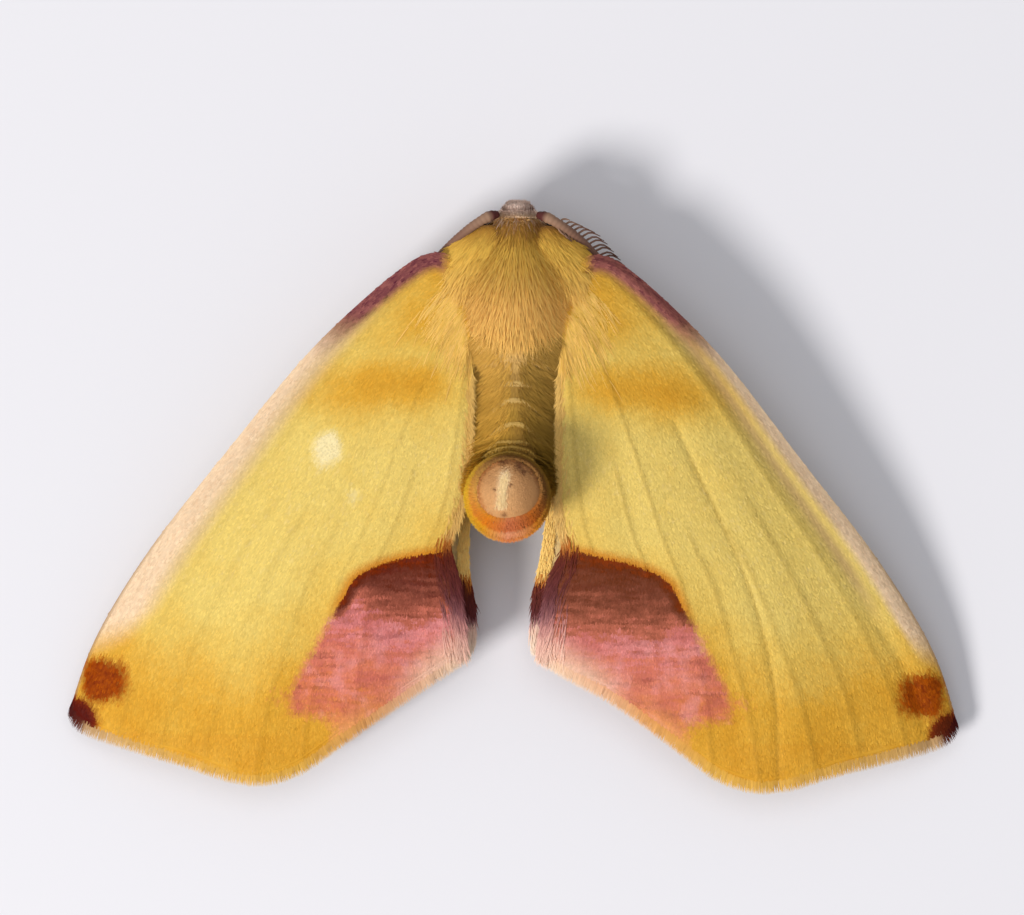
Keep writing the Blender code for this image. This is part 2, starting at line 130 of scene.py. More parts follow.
# Forewings
# Each is one tapering membrane on raised veins, rolled along its front edge and thin at the rear.
# The same plan curves as in the solids bound it, drawn in where the fringe takes over.
WING_HEIGHTS = [(1.3, 5.0, 2.72), (7.0, 1.4, 2.02), (11.3, -5.8, 0.66),
                (6.4, -7.5, 1.28), (1.0, -4.2, 1.66), (5.2, -1.6, 2.36)]
COSTA = [(1.25, 5.72), (1.85, 6.14), (2.35, 6.10), (2.95, 5.74), (5.05, 3.82), (7.36, 1.0),
         (9.52, -1.8), (10.82, -4.0), (11.50, -5.96)]
FORE_MARGIN = [(11.50, -5.96), (11.22, -6.40), (10.0, -6.83), (8.4, -7.28), (7.2, -7.66),
               (6.4, -7.73), (5.6, -7.48), (4.4, -6.62), (2.8, -5.50), (1.6, -4.78), (0.92, -4.35)]
DORSUM = [(1.16, 3.9), (1.14, 2.0), (1.16, 0.3), (1.27, -0.6), (1.44, -1.2), (1.20, -2.2), (1.05, -3.2),
          (0.92, -4.35)]
DORSUM_SKEW = 0.22
TIP_SKEW = {1: 0.13, -1: -0.05}
FORE_FRINGE = 0.42
FORE_TOP = 0.12
FORE_THICK = 0.10
FORE_LENGTHS = [14.8, 12.2, 8.2]
FORE_ROWS, FORE_COLUMNS = 190, 170
VEINS = {"subcosta": (0.045, 0.0, 0.62), "radius": (0.13, 0.0, 1.0), "media_1": (0.23, 0.5, 1.0),
         "media_2": (0.33, 0.5, 1.0), "media_3": (0.45, 0.5, 1.0), "cubitus_1": (0.56, 0.0, 1.0),
         "cubitus_2": (0.70, 0.38, 1.0), "anal": (0.90, 0.0, 1.0)}
CREASE = [(4.1, 1.9), (4.6, 0.8), (5.2, -0.4), (5.9, -1.9), (6.35, -3.2), (6.75, -5.0), (6.9, -7.2)]
PATCH_EDGE = [(0.5, -1.15), (1.2, -1.25), (2.0, -1.42), (3.0, -1.64), (3.6, -1.86), (4.02, -2.15),
              (4.25, -2.55), (4.5, -3.0), (4.8, -3.6), (5.06, -4.1), (5.36, -4.6), (5.56, -5.1), (5.8, -6.2)]
PATCH_DARK_END = {1: [(1.2, -3.55), (3.8, -3.6), (4.4, -3.2)],
                  -1: [(1.2, -2.95), (1.8, -3.1), (2.6, -3.4), (3.4, -3.15), (4.1, -2.6)]}
ROSY_CLOUD = (5.9, -5.2)
RUST_SPOT = {1: (10.52, -4.94), -1: (10.38, -4.88)}
APEX_SPOT = {1: (11.42, -5.98), -1: (11.26, -5.96)}
RUBBED_SPOT = (4.74, 1.15)


def between(a, b, start, end, t):
    return ((end - t) * a + (t - start) * b) / (end - start)


def line_length(line):
    return np.linalg.norm(np.diff(line, axis=0), axis=1).sum()


def at_shares(line, shares):
    """Points of the line at these shares of its length."""
    line = np.asarray(line, float)
    steps = np.linalg.norm(np.diff(line, axis=0), axis=1)
    along = np.concatenate([[0.0], np.cumsum(steps)]) / steps.sum()
    return np.stack([np.interp(shares, along, line[:, k]) for k in range(line.shape[1])], axis=-1)


def smooth_line(points, count):
    """count + 1 points spaced evenly along a smooth line through the given ones."""
    p = np.asarray(points, float)
    p = np.vstack([2 * p[0] - p[1], p, 2 * p[-1] - p[-2]])
    line = []
    for i in range(1, len(p) - 2):
        knots = [0.0]
        for k in range(3):
            knots.append(knots[-1] + np.linalg.norm(p[i + k] - p[i + k - 1]) ** 0.5)
        for t in np.linspace(knots[1], knots[2], 24, endpoint=False):
            a = [between(p[i - 1 + k], p[i + k], knots[k], knots[k + 1], t) for k in range(3)]
            b = [between(a[k], a[k + 1], knots[k], knots[k + 2], t) for k in range(2)]
            line.append(between(b[0], b[1], knots[1], knots[2], t))
    return at_shares(np.array(line + [p[-2]]), np.linspace(0.0, 1.0, count + 1))


def ease(low, high, value):
    """0 below low, 1 above high, and a soft step between. low may be the larger one."""
    t = np.clip((np.asarray(value, float) - low) / (high - low), 0.0, 1.0)
    return t * t * (3 - 2 * t)


def skewed(line, side):
    moved = []
    for x, y in line:
        share = np.clip((0.6 - y) / 2.2, 0, 1) * np.clip((2.8 - x) / 1.6, 0, 1)
        moved.append((x - side * DORSUM_SKEW * share + TIP_SKEW[side] * np.clip((x - 8) / 3, 0, 1), y))
    return moved


def wing_edges(costa, margin, dorsum, side):
    return [smooth_line(skewed(line, side), 600) for line in (costa, margin, dorsum)]


def wing_plan(edges, u, v):
    """Plan places at shares u from root to margin and v from front edge to rear edge."""
    front, outer, rear = edges
    u, v = np.broadcast_arrays(np.asarray(u, float), np.asarray(v, float))
    shares = np.linspace(0, 1, len(front))

    def on(line, t):
        return np.stack([np.interp(t, shares, line[:, k]) for k in (0, 1)], axis=-1)

    root = (1 - v)[..., None] * front[0] + v[..., None] * rear[0]
    corners = (((1 - u) * (1 - v))[..., None] * front[0] + ((1 - u) * v)[..., None] * rear[0]
               + (u * (1 - v))[..., None] * front[-1] + (u * v)[..., None] * rear[-1])
    return ((1 - v)[..., None] * on(front, u) + v[..., None] * on(rear, u)
            + (1 - u)[..., None] * root + u[..., None] * on(outer, v) - corners)


def wing_height(plan):
    """The wing's middle surface: the quadric through six named heights."""
    spots = np.array(WING_HEIGHTS)

    def terms(a, b):
        return np.stack([np.ones_like(a), a, b, a * a, a * b, b * b], axis=-1)

    factors = np.linalg.solve(terms(spots[:, 0], spots[:, 1]), spots[:, 2])
    return terms(plan[..., 0], plan[..., 1]) @ factors


def to_line(points, line):
    """Distance from each plan point to the line, and the share of the line where it is nearest."""
    flat = points.reshape(-1, 2)
    far = np.empty(len(flat))
    where = np.empty(len(flat))
    for start in range(0, len(flat), 4000):
        part = flat[start:start + 4000]
        gap = ((part[:, None] - line[None, ::3]) ** 2).sum(axis=2)
        best = gap.argmin(axis=1)
        far[start:start + 4000] = np.sqrt(gap[np.arange(len(part)), best])
        where[start:start + 4000] = best / (gap.shape[1] - 1)
    return far.reshape(points.shape[:-1]), where.reshape(points.shape[:-1])


def chord_length(edges, u):
    """Length of the wing across, front edge to rear edge, at share u."""
    span = wing_plan(edges, u, np.zeros_like(u)) - wing_plan(edges, u, np.ones_like(u))
    return np.linalg.norm(span, axis=-1)


def vein_closeness(edges, u, v, veins, width):
    """1 on a vein and 0 away from it, for veins of that half-width in millimetres."""
    chord = chord_length(edges, u)
    closeness = np.zeros_like(u)
    for share, start, end in veins.values():
        off = (v - share) * chord
        live = ease(start - 0.04, start + 0.04, u) if start > 0 else 1.0
        live = live * (ease(end + 0.04, end - 0.04, u) if end < 1 else 1.0)
        closeness = np.maximum(closeness, np.exp(-(off / width) ** 2) * live)
    return closeness


def fore_relief(edges, side, u, v, plan):
    """Millimetres that the upper skin rises over its even sheet: veins, rolled edge and folds."""
    lift = 0.020 * vein_closeness(edges, u, v, VEINS, 0.09)
    chord = chord_length(edges, u)
    from_costa, _ = to_line(plan, edges[0])
    strip = np.interp(plan[..., 1], [-5, -3, 2, 4], [0.75, 0.85, 0.55, 0.40])
    roll = 1.0 if side > 0 else 0.45
    lift += 0.07 * roll * np.exp(-((from_costa - strip * 0.42) / (strip * 0.45)) ** 2)
    lift -= 0.05 * roll * np.exp(-((from_costa - strip * 1.10) / 0.18) ** 2)
    waves = np.sin((v * 7.0 + 0.5 * np.sin(u * 4.0) + 0.3 * side) * math.pi)
    lift += 0.028 * waves * ease(0.1, 0.5, u) * np.clip(chord / 8.0, 0, 1)
    off, _ = to_line(plan, smooth_line(CREASE, 300))
    lift -= (0.035 if side > 0 else 0.015) * np.exp(-(off / 0.10) ** 2)
    if side > 0:
        lift += 0.03 * np.exp(-((off - 0.5) / 0.4) ** 2)
    return lift


def fore_fields(edges, side, u, v, plan):
    """Where each marking lies, as triples of shares for the shader. Gold below 0 is rubbed bare."""
    x, y = plan[..., 0], plan[..., 1]
    from_costa, _ = to_line(plan, edges[0])
    from_margin, _ = to_line(plan, edges[1])
    outer = 0.72 * ease(4.8, 1.5, from_margin)
    band = np.exp(-((y - 2.85 + 0.10 * (x - 3)) / 0.80) ** 2) * ease(6.8, 3.8, x) * ease(0.6, 2.4, x)
    base = 0.60 * ease(2.6, 4.6, y) * ease(5.2, 2.4, x)
    gold = np.clip(np.maximum(np.maximum(outer, 0.74 * band), base), 0, 1)
    # The pale strip is drawn narrower on the right wing, where its inner part is left to the painted shade of
    # the groove.
    soft = 0.12 if side > 0 else 0.34
    narrow = 0.56 if side > 0 else 1.02
    strip_wide = np.interp(y, [-5, -3, 2, 4], [0.70, 0.85, 0.55, 0.40])
    strip = ease(strip_wide * narrow + soft, strip_wide * narrow - soft, from_costa)
    strip = strip * ease(4.9, 3.7, y) * ease(-4.5, -3.3, y - 0.5 * from_costa)
    purple = ease(0.58, 0.26, from_costa) * ease(3.3, 4.7, y) * ease(1.55, 1.95, x)
    edge_line = smooth_line(PATCH_EDGE, 600)
    off, share = to_line(plan, edge_line)
    below = y < np.interp(x, edge_line[:, 0], edge_line[:, 1])
    signed = np.where(below, off, -off)
    rim = ease(0.62, 0.52, share)
    width = 0.05 + 0.34 * (1 - rim)
    mask = ease(-width, width * 0.8, signed) * ease(6.7, 5.5, x)
    mask = mask * (1 - ease(3.9, 5.1, x) * ease(-5.2, -6.1, y))
    cloud = np.hypot(x - ROSY_CLOUD[0], y - ROSY_CLOUD[1]) / 0.42
    mask = np.maximum(mask, 0.34 * np.exp(-cloud ** 2))
    halo = ease(-0.30, 0.0, signed) * (0.15 + 0.85 * rim)
    dark_end = np.interp(x, *zip(*PATCH_DARK_END[side]))
    above = np.clip((y - dark_end) / (-1.3 - dark_end), 0, 2) ** 0.8
    beneath = np.clip((dark_end - y) / (dark_end + 7.0), 0, 2) ** 0.8
    depth = 0.48 - 0.42 * above + 0.52 * beneath
    rusty_rim = ease(0.34, 0.04, signed) * rim
    depth = depth * (1 - rusty_rim) + 0.02 * rusty_rim
    fade = ease(1.0, 0.2, from_margin) * ease(2.8, 4.2, x)
    dx, dy = (x - RUST_SPOT[side][0]) / 0.66, (y - RUST_SPOT[side][1]) / 0.60
    rust = np.exp(-(np.abs(dx) ** 3.4 + np.abs(dy) ** 3.4))
    rust = rust * (0.72 + 0.28 * ease(-0.3, 0.4, dx))
    apex = np.exp(-(((x - APEX_SPOT[side][0]) ** 2 + (y - APEX_SPOT[side][1]) ** 2) / 0.44) ** 2.0)
    vein_shade = vein_closeness(edges, u, v, VEINS, 0.07)
    # Painted shade in the groove inside the rolled front edge: deep on the right wing, which faces away from
    # the light, faint on the left. A line of painted shade also runs along the front edge towards the tip,
    # where it turns down.
    groove_shade = np.exp(-((from_costa - strip_wide * (1.0 if side > 0 else 1.05)) / 0.17) ** 2)
    groove_shade = groove_shade * ease(5.2, 3.8, y) * ease(-3.6, -1.6, y) * (0.85 if side > 0 else 0.24)
    groove_shade = np.maximum(groove_shade, 0.9 * ease(0.10, 0.03, from_costa) * ease(0.5, -2.5, y))
    # Painted shade along the veins and in the fold of the crease: deeper on the right wing, which faces away
    # from the light, faint on the left.
    off_crease, _ = to_line(plan, smooth_line(CREASE, 300))
    if side > 0:
        vein_shade = np.maximum(vein_shade * 0.60, 1.3 * np.exp(-(off_crease / 0.05) ** 2) * ease(1.9, 0.4, y))
    else:
        vein_shade = vein_shade * 0.22
    rubbed = np.zeros_like(x)
    if side < 0:
        off_x, off_y = (x - RUBBED_SPOT[0]) / 0.38, (y - RUBBED_SPOT[1]) / 0.50
        rubbed = np.exp(-(np.abs(off_x + 0.45 * off_y) ** 1.5 + np.abs(off_y - 0.3 * off_x) ** 1.5) ** 2)
        rubbed += 0.32 * np.exp(-((off_x + 1.8) ** 2 + (off_y + 2.3) ** 2) * 7)
    cream = ease(1.3, 0.2, from_margin) * ease(3.4, 1.9, x)
    return {
        "base_lay": np.stack([gold * (1 - rubbed) - rubbed, strip, purple], axis=-1),
        "patch_lay": np.stack([mask, np.clip(depth, 0, 1), halo], axis=-1),
        "spot_lay": np.stack([rust, apex, fade], axis=-1),
        "line_lay": np.stack([np.clip(vein_shade, 0, 1), groove_shade, cream * 0.85], axis=-1),
    }


def add_field(mesh, name, values):
    """Stores one number or one triple for each vertex."""
    values = np.asarray(values, np.float32)
    kind, part = ("FLOAT_VECTOR", "vector") if values.ndim == 2 else ("FLOAT", "value")
    mesh.attributes.new(name, kind, "POINT").data.foreach_set(part, values.ravel())


def mirrored(points, side):
    return np.asarray(points) * (side, 1.0, 1.0)


def put_piece(name, points, triangles, material, nodes, uv, fields, side=1):
    """One smooth triangle mesh riding on the still body, made for the right and mirrored for the left."""
    triangles = np.asarray(triangles, np.int32)
    if side < 0:
        triangles = triangles[:, ::-1]
    mesh = bpy.data.meshes.new(name)
    mesh.vertices.add(len(points))
    mesh.vertices.foreach_set("co", place(mirrored(points, side)).astype(np.float32).ravel())
    mesh.loops.add(3 * len(triangles))
    mesh.loops.foreach_set("vertex_index", triangles.ravel())
    mesh.polygons.add(len(triangles))
    mesh.polygons.foreach_set("loop_start", np.arange(0, 3 * len(triangles), 3, dtype=np.int32))
    mesh.update(calc_edges=True)
    mesh.shade_smooth()
    layer = mesh.uv_layers.new(name="OFBake")
    layer.data.foreach_set("uv", np.asarray(uv, np.float32)[triangles.ravel()].ravel())
    for label, values in fields.items():
        add_field(mesh, label, values)
    mesh.materials.append(material)
    piece = bpy.data.objects.new(name, mesh)
    bpy.context.scene.collection.objects.link(piece)
    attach(piece, "root")
    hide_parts(*nodes)


def grid_triangles(rows, columns, flip=False, closed=False):
    """Triangles of a net of rows x columns points, closed round its columns if asked."""
    i = np.arange(rows - 1)[:, None]
    j = np.arange(columns if closed else columns - 1)[None, :]
    k = (j + 1) % columns
    a, b = i * columns + j, i * columns + k
    c, d = a + columns, b + columns
    first = np.stack([a, c, d], axis=-1).reshape(-1, 3)
    second = np.stack([a, d, b], axis=-1).reshape(-1, 3)
    triangles = np.vstack([first, second])
    return triangles[:, ::-1] if flip else triangles


def unit(vectors):
    return vectors / (np.linalg.norm(vectors, axis=-1, keepdims=True) + 1e-12)


def surface_frame(points):
    """Unit normals (pointing up) and unit ways along the rows of a net of points."""
    along = np.gradient(points, axis=0)
    normal = unit(np.cross(along, np.gradient(points, axis=1)))
    return normal * np.sign(normal[..., 2:3]), unit(along)


def new_group(name, inputs, outputs):
    """An empty shader group with named sockets, its input node and its output node."""
    group = bpy.data.node_groups.new(name, "ShaderNodeTree")
    kinds = {"colour": "NodeSocketColor", "value": "NodeSocketFloat", "vector": "NodeSocketVector"}
    for label, kind in inputs:
        group.interface.new_socket(label, in_out="INPUT", socket_type=kinds[kind])
    for label, kind in outputs:
        group.interface.new_socket(label, in_out="OUTPUT", socket_type=kinds[kind])
    return group, group.nodes.new("NodeGroupInput"), group.nodes.new("NodeGroupOutput")


def link(tree, source, target):
    if isinstance(source, bpy.types.NodeSocket):
        tree.links.new(source, target)
    else:
        target.default_value = source


def calc(tree, operation, a, b=0.0, clamp=False):
    node = tree.nodes.new("ShaderNodeMath")
    node.operation = operation
    node.use_clamp = clamp
    link(tree, a, node.inputs[0])
    link(tree, b, node.inputs[1])
    return node.outputs[0]


def blend_colours(tree, share, a, b, kind="MIX"):
    node = tree.nodes.new("ShaderNodeMix")
    node.data_type = "RGBA"
    node.blend_type = kind
    link(tree, share, node.inputs["Factor"])
    link(tree, a, node.inputs[6])
    link(tree, b, node.inputs[7])
    return node.outputs[2]


def cover(tree, colour, share, strength, over):
    """The colour with another laid over it, as dense as the share times the strength."""
    return blend_colours(tree, calc(tree, "MULTIPLY", share, strength), colour, over)


def beyond(tree, value, edge, gain):
    """How far the value is past the edge, times the gain, kept from 0 to 1."""
    return calc(tree, "MULTIPLY", calc(tree, "SUBTRACT", value, edge), gain, clamp=True)


def varied(tree, value, noise, middle, gain, clamp=False):
    """The value, moved up and down by how far the noise is from its middle."""
    offset = calc(tree, "MULTIPLY", calc(tree, "SUBTRACT", noise, middle), gain)
    return calc(tree, "ADD", value, offset, clamp)


def levelled(tree, colour, level):
    """The colour made lighter or darker by the level."""
    grey = tree.nodes.new("ShaderNodeCombineColor")
    for channel in range(3):
        tree.links.new(level, grey.inputs[channel])
    return blend_colours(tree, 1.0, colour, grey.outputs[0], "MULTIPLY")


def ramp(tree, share, stops, gain=1.0):
    """Colours at places from 0 to 1. Each stop is a place with its red, green and blue screen values."""
    node = tree.nodes.new("ShaderNodeValToRGB")
    elements = node.color_ramp.elements
    colours = []
    for spot, *screen in stops:
        colours.append((spot, tuple(min(1.0, gain * c) for c in tone(*screen)[:3]) + (1.0,)))
    elements[0].position, elements[0].color = colours[0]
    elements[1].position, elements[1].color = colours[-1]
    for position, colour in colours[1:-1]:
        elements.new(position).color = colour
    link(tree, share, node.inputs["Fac"])
    return node.outputs["Color"]


def split(tree, vector):
    node = tree.nodes.new("ShaderNodeSeparateXYZ")
    tree.links.new(vector, node.inputs[0])
    return node.outputs


def mottle(tree, vector, scale, detail, stretch=None):
    """Noise over places in millimetres, packed closer along each axis by its stretch."""
    if stretch:
        mapping = tree.nodes.new("ShaderNodeMapping")
        mapping.inputs["Scale"].default_value = stretch
        tree.links.new(vector, mapping.inputs["Vector"])
        vector = mapping.outputs[0]
    node = tree.nodes.new("ShaderNodeTexNoise")
    node.inputs["Scale"].default_value = scale
    node.inputs["Detail"].default_value = detail
    tree.links.new(vector, node.inputs["Vector"])
    return node.outputs[0]


def field(tree, name):
    """A field stored on the mesh: a triple where its name says lay or place, else a number."""
    node = tree.nodes.new("ShaderNodeAttribute")
    node.attribute_name = name
    return node.outputs["Vector" if name.endswith(("_lay", "_place")) else "Fac"]


wing_colours, given, result = new_group(
    "wing_scale_colours",
    [("Base", "vector"), ("Patch", "vector"), ("Spots", "vector"), ("Lines", "vector"),
     ("Place", "vector"), ("Chance", "value"), ("Shade", "value")],
    [("Colour", "colour"), ("Grain", "value")])
T = wing_colours
places = given.outputs["Place"]
gold, strip, purple = split(T, given.outputs["Base"])
mask, depth, halo = split(T, given.outputs["Patch"])
rust, apex, fade = split(T, given.outputs["Spots"])
vein_shade, groove_shade, cream = split(T, given.outputs["Lines"])
broad = mottle(T, places, 0.9, 3.0)
fine = mottle(T, places, 9.0, 4.0)
streaks = mottle(T, places, 2.2, 4.0, (0.7, 5.0, 1.0))
rubbed = varied(T, calc(T, "MULTIPLY", gold, -1.6), fine, 0.55, 1.2, clamp=True)
gold = varied(T, gold, broad, 0.5, 0.55)
gold = varied(T, gold, fine, 0.5, 0.30, clamp=True)
colour = ramp(T, gold, [(0.0, 228, 199, 108), (0.3, 224, 186, 88),
                        (0.65, 218, 164, 56), (1.0, 206, 142, 30)])
colour = blend_colours(T, rubbed, colour, tone(240, 222, 168))
peach = ramp(T, fine, [(0.25, 226, 190, 152), (0.6, 238, 208, 172)])
colour = blend_colours(T, strip, colour, peach)
# Painted shade in the groove beside the rolled front edge.
colour = cover(T, colour, groove_shade, 0.80, tone(154, 122, 92))
# Painted shade along the veins and folds.
colour = cover(T, colour, vein_shade, 0.42, tone(146, 112, 40))
wine = ramp(T, fine, [(0.3, 92, 36, 52), (0.7, 160, 96, 88)])
colour = blend_colours(T, purple, colour, wine)
colour = cover(T, colour, halo, 0.85, tone(196, 116, 14))
ragged = varied(T, mask, fine, 0.5, 0.9)
ragged = calc(T, "ADD", calc(T, "MULTIPLY", ragged, 2.0), -0.5, clamp=True)
deeper = varied(T, depth, streaks, 0.5, 0.46)
deeper = varied(T, deeper, fine, 0.5, 0.16, clamp=True)
rosy = beyond(T, deeper, 0.43, 9.0)
blots = mottle(T, places, 1.7, 3.0)
strong = beyond(T, blots, 0.51, 7.0)
hazy = beyond(T, blots, 0.49, -7.0)
inside = ramp(T, deeper, [(0.0, 122, 40, 0), (0.05, 100, 32, 4), (0.12, 100, 40, 22),
                          (0.22, 112, 54, 40), (0.34, 148, 78, 60), (0.44, 188, 102, 82),
                          (0.50, 198, 112, 108), (0.56, 216, 128, 124), (0.64, 204, 112, 92),
                          (0.72, 214, 122, 98), (0.84, 210, 118, 78), (1.0, 220, 140, 70)])
inside = cover(T, inside, calc(T, "MULTIPLY", strong, rosy), 0.50, tone(182, 90, 80))
inside = cover(T, inside, calc(T, "MULTIPLY", hazy, rosy), 0.45, tone(226, 150, 148))
striae = beyond(T, mottle(T, places, 1.1, 3.0, (1.0, 8.0, 1.0)), 0.54, 8.0)
inside = cover(T, inside, striae, 0.32, tone(96, 34, 28))
inside = cover(T, inside, fade, 0.8, tone(226, 158, 96))
colour = blend_colours(T, ragged, colour, inside)
colour = cover(T, colour, cream, 0.85, tone(238, 206, 178))
rusty = ramp(T, fine, [(0.3, 118, 34, 0), (0.7, 170, 78, 0)])
torn = varied(T, calc(T, "MULTIPLY", rust, 2.4), fine, 0.80, 1.6, clamp=True)
colour = blend_colours(T, torn, colour, rusty)
burnt = varied(T, calc(T, "MULTIPLY", apex, 2.2), fine, 0.76, 1.2, clamp=True)
scorched = ramp(T, apex, [(0.25, 136, 58, 6), (0.55, 116, 36, 4), (0.85, 84, 16, 6)])
colour = blend_colours(T, burnt, colour, scorched)
chance = given.outputs["Chance"]
dark = calc(T, "GREATER_THAN", chance, 0.92)
# A few scales are made paler: painted glints of single scales catching the light.
pale = calc(T, "LESS_THAN", chance, 0.06)
level = calc(T, "ADD", 0.88, calc(T, "MULTIPLY", chance, 0.20))
level = calc(T, "ADD", level, calc(T, "MULTIPLY", pale, 0.20))
level = calc(T, "SUBTRACT", level, calc(T, "MULTIPLY", dark, 0.12))
colour = levelled(T, colour, level)
# Shade darkens the colour towards olive brown; on the right forewing this is painted shade of the wing that
# faces away from the light.
colour = blend_colours(T, given.outputs["Shade"], colour, tone(150, 112, 40))
T.links.new(colour, result.inputs["Colour"])
T.links.new(fine, result.inputs["Grain"])
GRAIN_DEPTH = 0.00003
WING_SHINE = 0.05
WING_SOURCES = {"Base": "base_lay", "Patch": "patch_lay", "Spots": "spot_lay", "Lines": "line_lay",
                "Place": "root_place", "Chance": "chance"}


def grouped_material(name, colour, roughness, shine, group, sources, bump=0.0):
    """A material coloured by a shader group that reads the fields stored on the mesh."""
    material = plain_material(name, colour, roughness)
    tree = material.node_tree
    shader = tree.nodes["Principled BSDF"]
    shader.inputs["Specular IOR Level"].default_value = shine
    marks = tree.nodes.new("ShaderNodeGroup")
    marks.node_tree = group
    for label, source in sources.items():
        tree.links.new(field(tree, source), marks.inputs[label])
    tree.links.new(marks.outputs["Colour"], shader.inputs["Base Color"])
    if bump:
        relief = tree.nodes.new("ShaderNodeBump")
        relief.inputs["Strength"].default_value = bump
        relief.inputs["Distance"].default_value = GRAIN_DEPTH
        tree.links.new(marks.outputs["Grain"], relief.inputs["Height"])
        tree.links.new(relief.outputs["Normal"], shader.inputs["Normal"])
    return material, marks


def wing_material(name, shade, roughness, bump):
    """Scale-covered wing skin: the shared markings over a satin surface."""
    material, marks = grouped_material(name, tone(230, 190, 100), roughness, WING_SHINE, wing_colours,
                                       WING_SOURCES, bump)
    marks.inputs["Shade"].default_value = shade
    return material


SIDES = {1: "right", -1: "left"}
# The right forewing is darkened a little towards olive brown: painted shade of the wing that slopes away from
# the light.
FORE_PAINTED_SHADE = {1: 0.06, -1: 0.0}
chance_maker = np.random.default_rng(20)
fore_edges = {}
fore_tops = {}
fore_unders = {}


def skin_uv(u, v, face="upper"):
    """The wing's unwrap: its upper face on the left half of the sheet, its lower face on the right."""
    left = 0.02 if face == "upper" else 0.52
    return np.stack([left + 0.45 * u, 0.02 + 0.96 * v], axis=-1).reshape(-1, 2)


def wing_shares(rows, columns):
    """Even shares down the rows and across the columns of a wing's net."""
    return np.linspace(0, 1, rows)[:, None], np.broadcast_to(np.linspace(0, 1, columns), (rows, columns))


def sheet_nets(face, u, v, facing=1):
    """What a coat reads from a wing's face: places, outward normals, ways to the margin and shares."""
    normal, way = surface_frame(face)
    return {"place": face, "normal": facing * normal, "way": way, "share": np.dstack([u, v])}


def put_membrane(wing, side, top, under, u, v, fields, material):
    """Both faces of a wing, joined by a wall round their edge."""
    rows, columns = u.shape
    count = rows * columns
    loop = np.concatenate([np.arange(columns), np.arange(1, rows) * columns + columns - 1,
                           (rows - 1) * columns + np.arange(columns - 2, -1, -1),
                           np.arange(rows - 2, 0, -1) * columns])
    ahead = np.roll(loop, -1)
    triangles = np.vstack([grid_triangles(rows, columns), grid_triangles(rows, columns, flip=True) + count,
                           np.stack([loop, ahead, ahead + count], 1),
                           np.stack([loop, ahead + count, loop + count], 1)])
    both = {key: np.vstack([value.reshape(-1, 3)] * 2) for key, value in fields.items()}
    both["root_place"] = np.vstack([mirrored(top, side).reshape(-1, 3)] * 2)
    both["chance"] = np.full(2 * count, 0.5)
    points = np.vstack([top.reshape(-1, 3), under.reshape(-1, 3)])
    put_piece(f"{wing}_membrane_{SIDES[side]}", points, triangles, material,
              [f"{wing}_{SIDES[side]}"],
              np.vstack([skin_uv(u, v), skin_uv(u, v, "lower")]), both, side)


for side, label in SIDES.items():
    edges = wing_edges(COSTA, FORE_MARGIN, DORSUM, side)
    rows, v = wing_shares(FORE_ROWS, FORE_COLUMNS)
    u = rows * (1 - FORE_FRINGE / np.interp(v, [0, 0.5, 1], FORE_LENGTHS))
    plan = wing_plan(edges, u, v)
    sheet = wing_height(plan) + FORE_TOP
    lift = fore_relief(edges, side, u, v, plan)
    rim = np.minimum(np.minimum(v, 1 - v) * chord_length(edges, u), (1 - rows) * 12)
    thin = ease(0, 0.3, rim)
    top = np.dstack([plan, sheet + lift - 0.03 * (1 - thin)])
    under = np.dstack([plan, sheet - 0.012 - FORE_THICK * thin + lift * 0.5])
    fore_edges[side] = edges
    fore_tops[side] = sheet_nets(top, u, v)
    fore_unders[side] = sheet_nets(under - (0.0, 0.0, 0.003), u, v, facing=-1)
    put_membrane("forewing", side, top, under, u, v, fore_fields(edges, side, u, v, plan),
                 wing_material(f"forewing_skin_{label}", FORE_PAINTED_SHADE[side], 0.62, 0.5))


# Scales of the forewings
# Thousands of flat horny scales shingle the upper face, root towards the body and tip
# towards the margin. Each takes the colour of the marking it is rooted in.
SCALE_LONG = 0.110
SCALE_WIDE = 0.050
SCALE_ROW_STEP = 0.056
SCALE_STEP = 0.038
COAT_PATCH = 0.003


def shingle(roots, ways, normals, longs, wides, tilts, rolls):
    """Six-cornered scales, raised a little at their tips. Returns points, triangles and local places."""
    across = np.cross(normals, ways)
    outline = np.array([(0.0, 0.0), (0.42, 0.42), (0.42, -0.42), (1.0, 0.36), (1.0, -0.36), (1.08, 0.0)])
    corners = []
    for forth, aside in outline:
        rise = tilts * forth ** 1.5
        corners.append(roots + ways * (longs * forth)[:, None] + across * (wides * aside)[:, None]
                       + normals * (rise + rolls * aside)[:, None])
    points = np.stack(corners, axis=1)
    step = np.arange(len(roots))[:, None] * len(outline)
    shape = np.array([(0, 2, 1), (1, 2, 4), (1, 4, 3), (3, 4, 5)])
    triangles = (step[:, :, None] + shape[None]).reshape(-1, 3)
    return points.reshape(-1, 3), triangles, outline - (0.5, 0.0)


def read_nets(nets, a, b):
    """Reads nets of values at shares a of their rows and b of their columns."""
    rows, columns = nets["place"].shape[:2]
    a, b = np.clip(a, 0, 1) * (rows - 1), np.clip(b, 0, 1) * (columns - 1)
    i, j = np.minimum(a.astype(int), rows - 2), np.minimum(b.astype(int), columns - 2)
    s, t = (a - i)[..., None], (b - j)[..., None]
    return {key: ((1 - s) * (1 - t) * net[i, j] + (1 - s) * t * net[i, j + 1]
                  + s * (1 - t) * net[i + 1, j] + s * t * net[i + 1, j + 1]) for key, net in nets.items()}


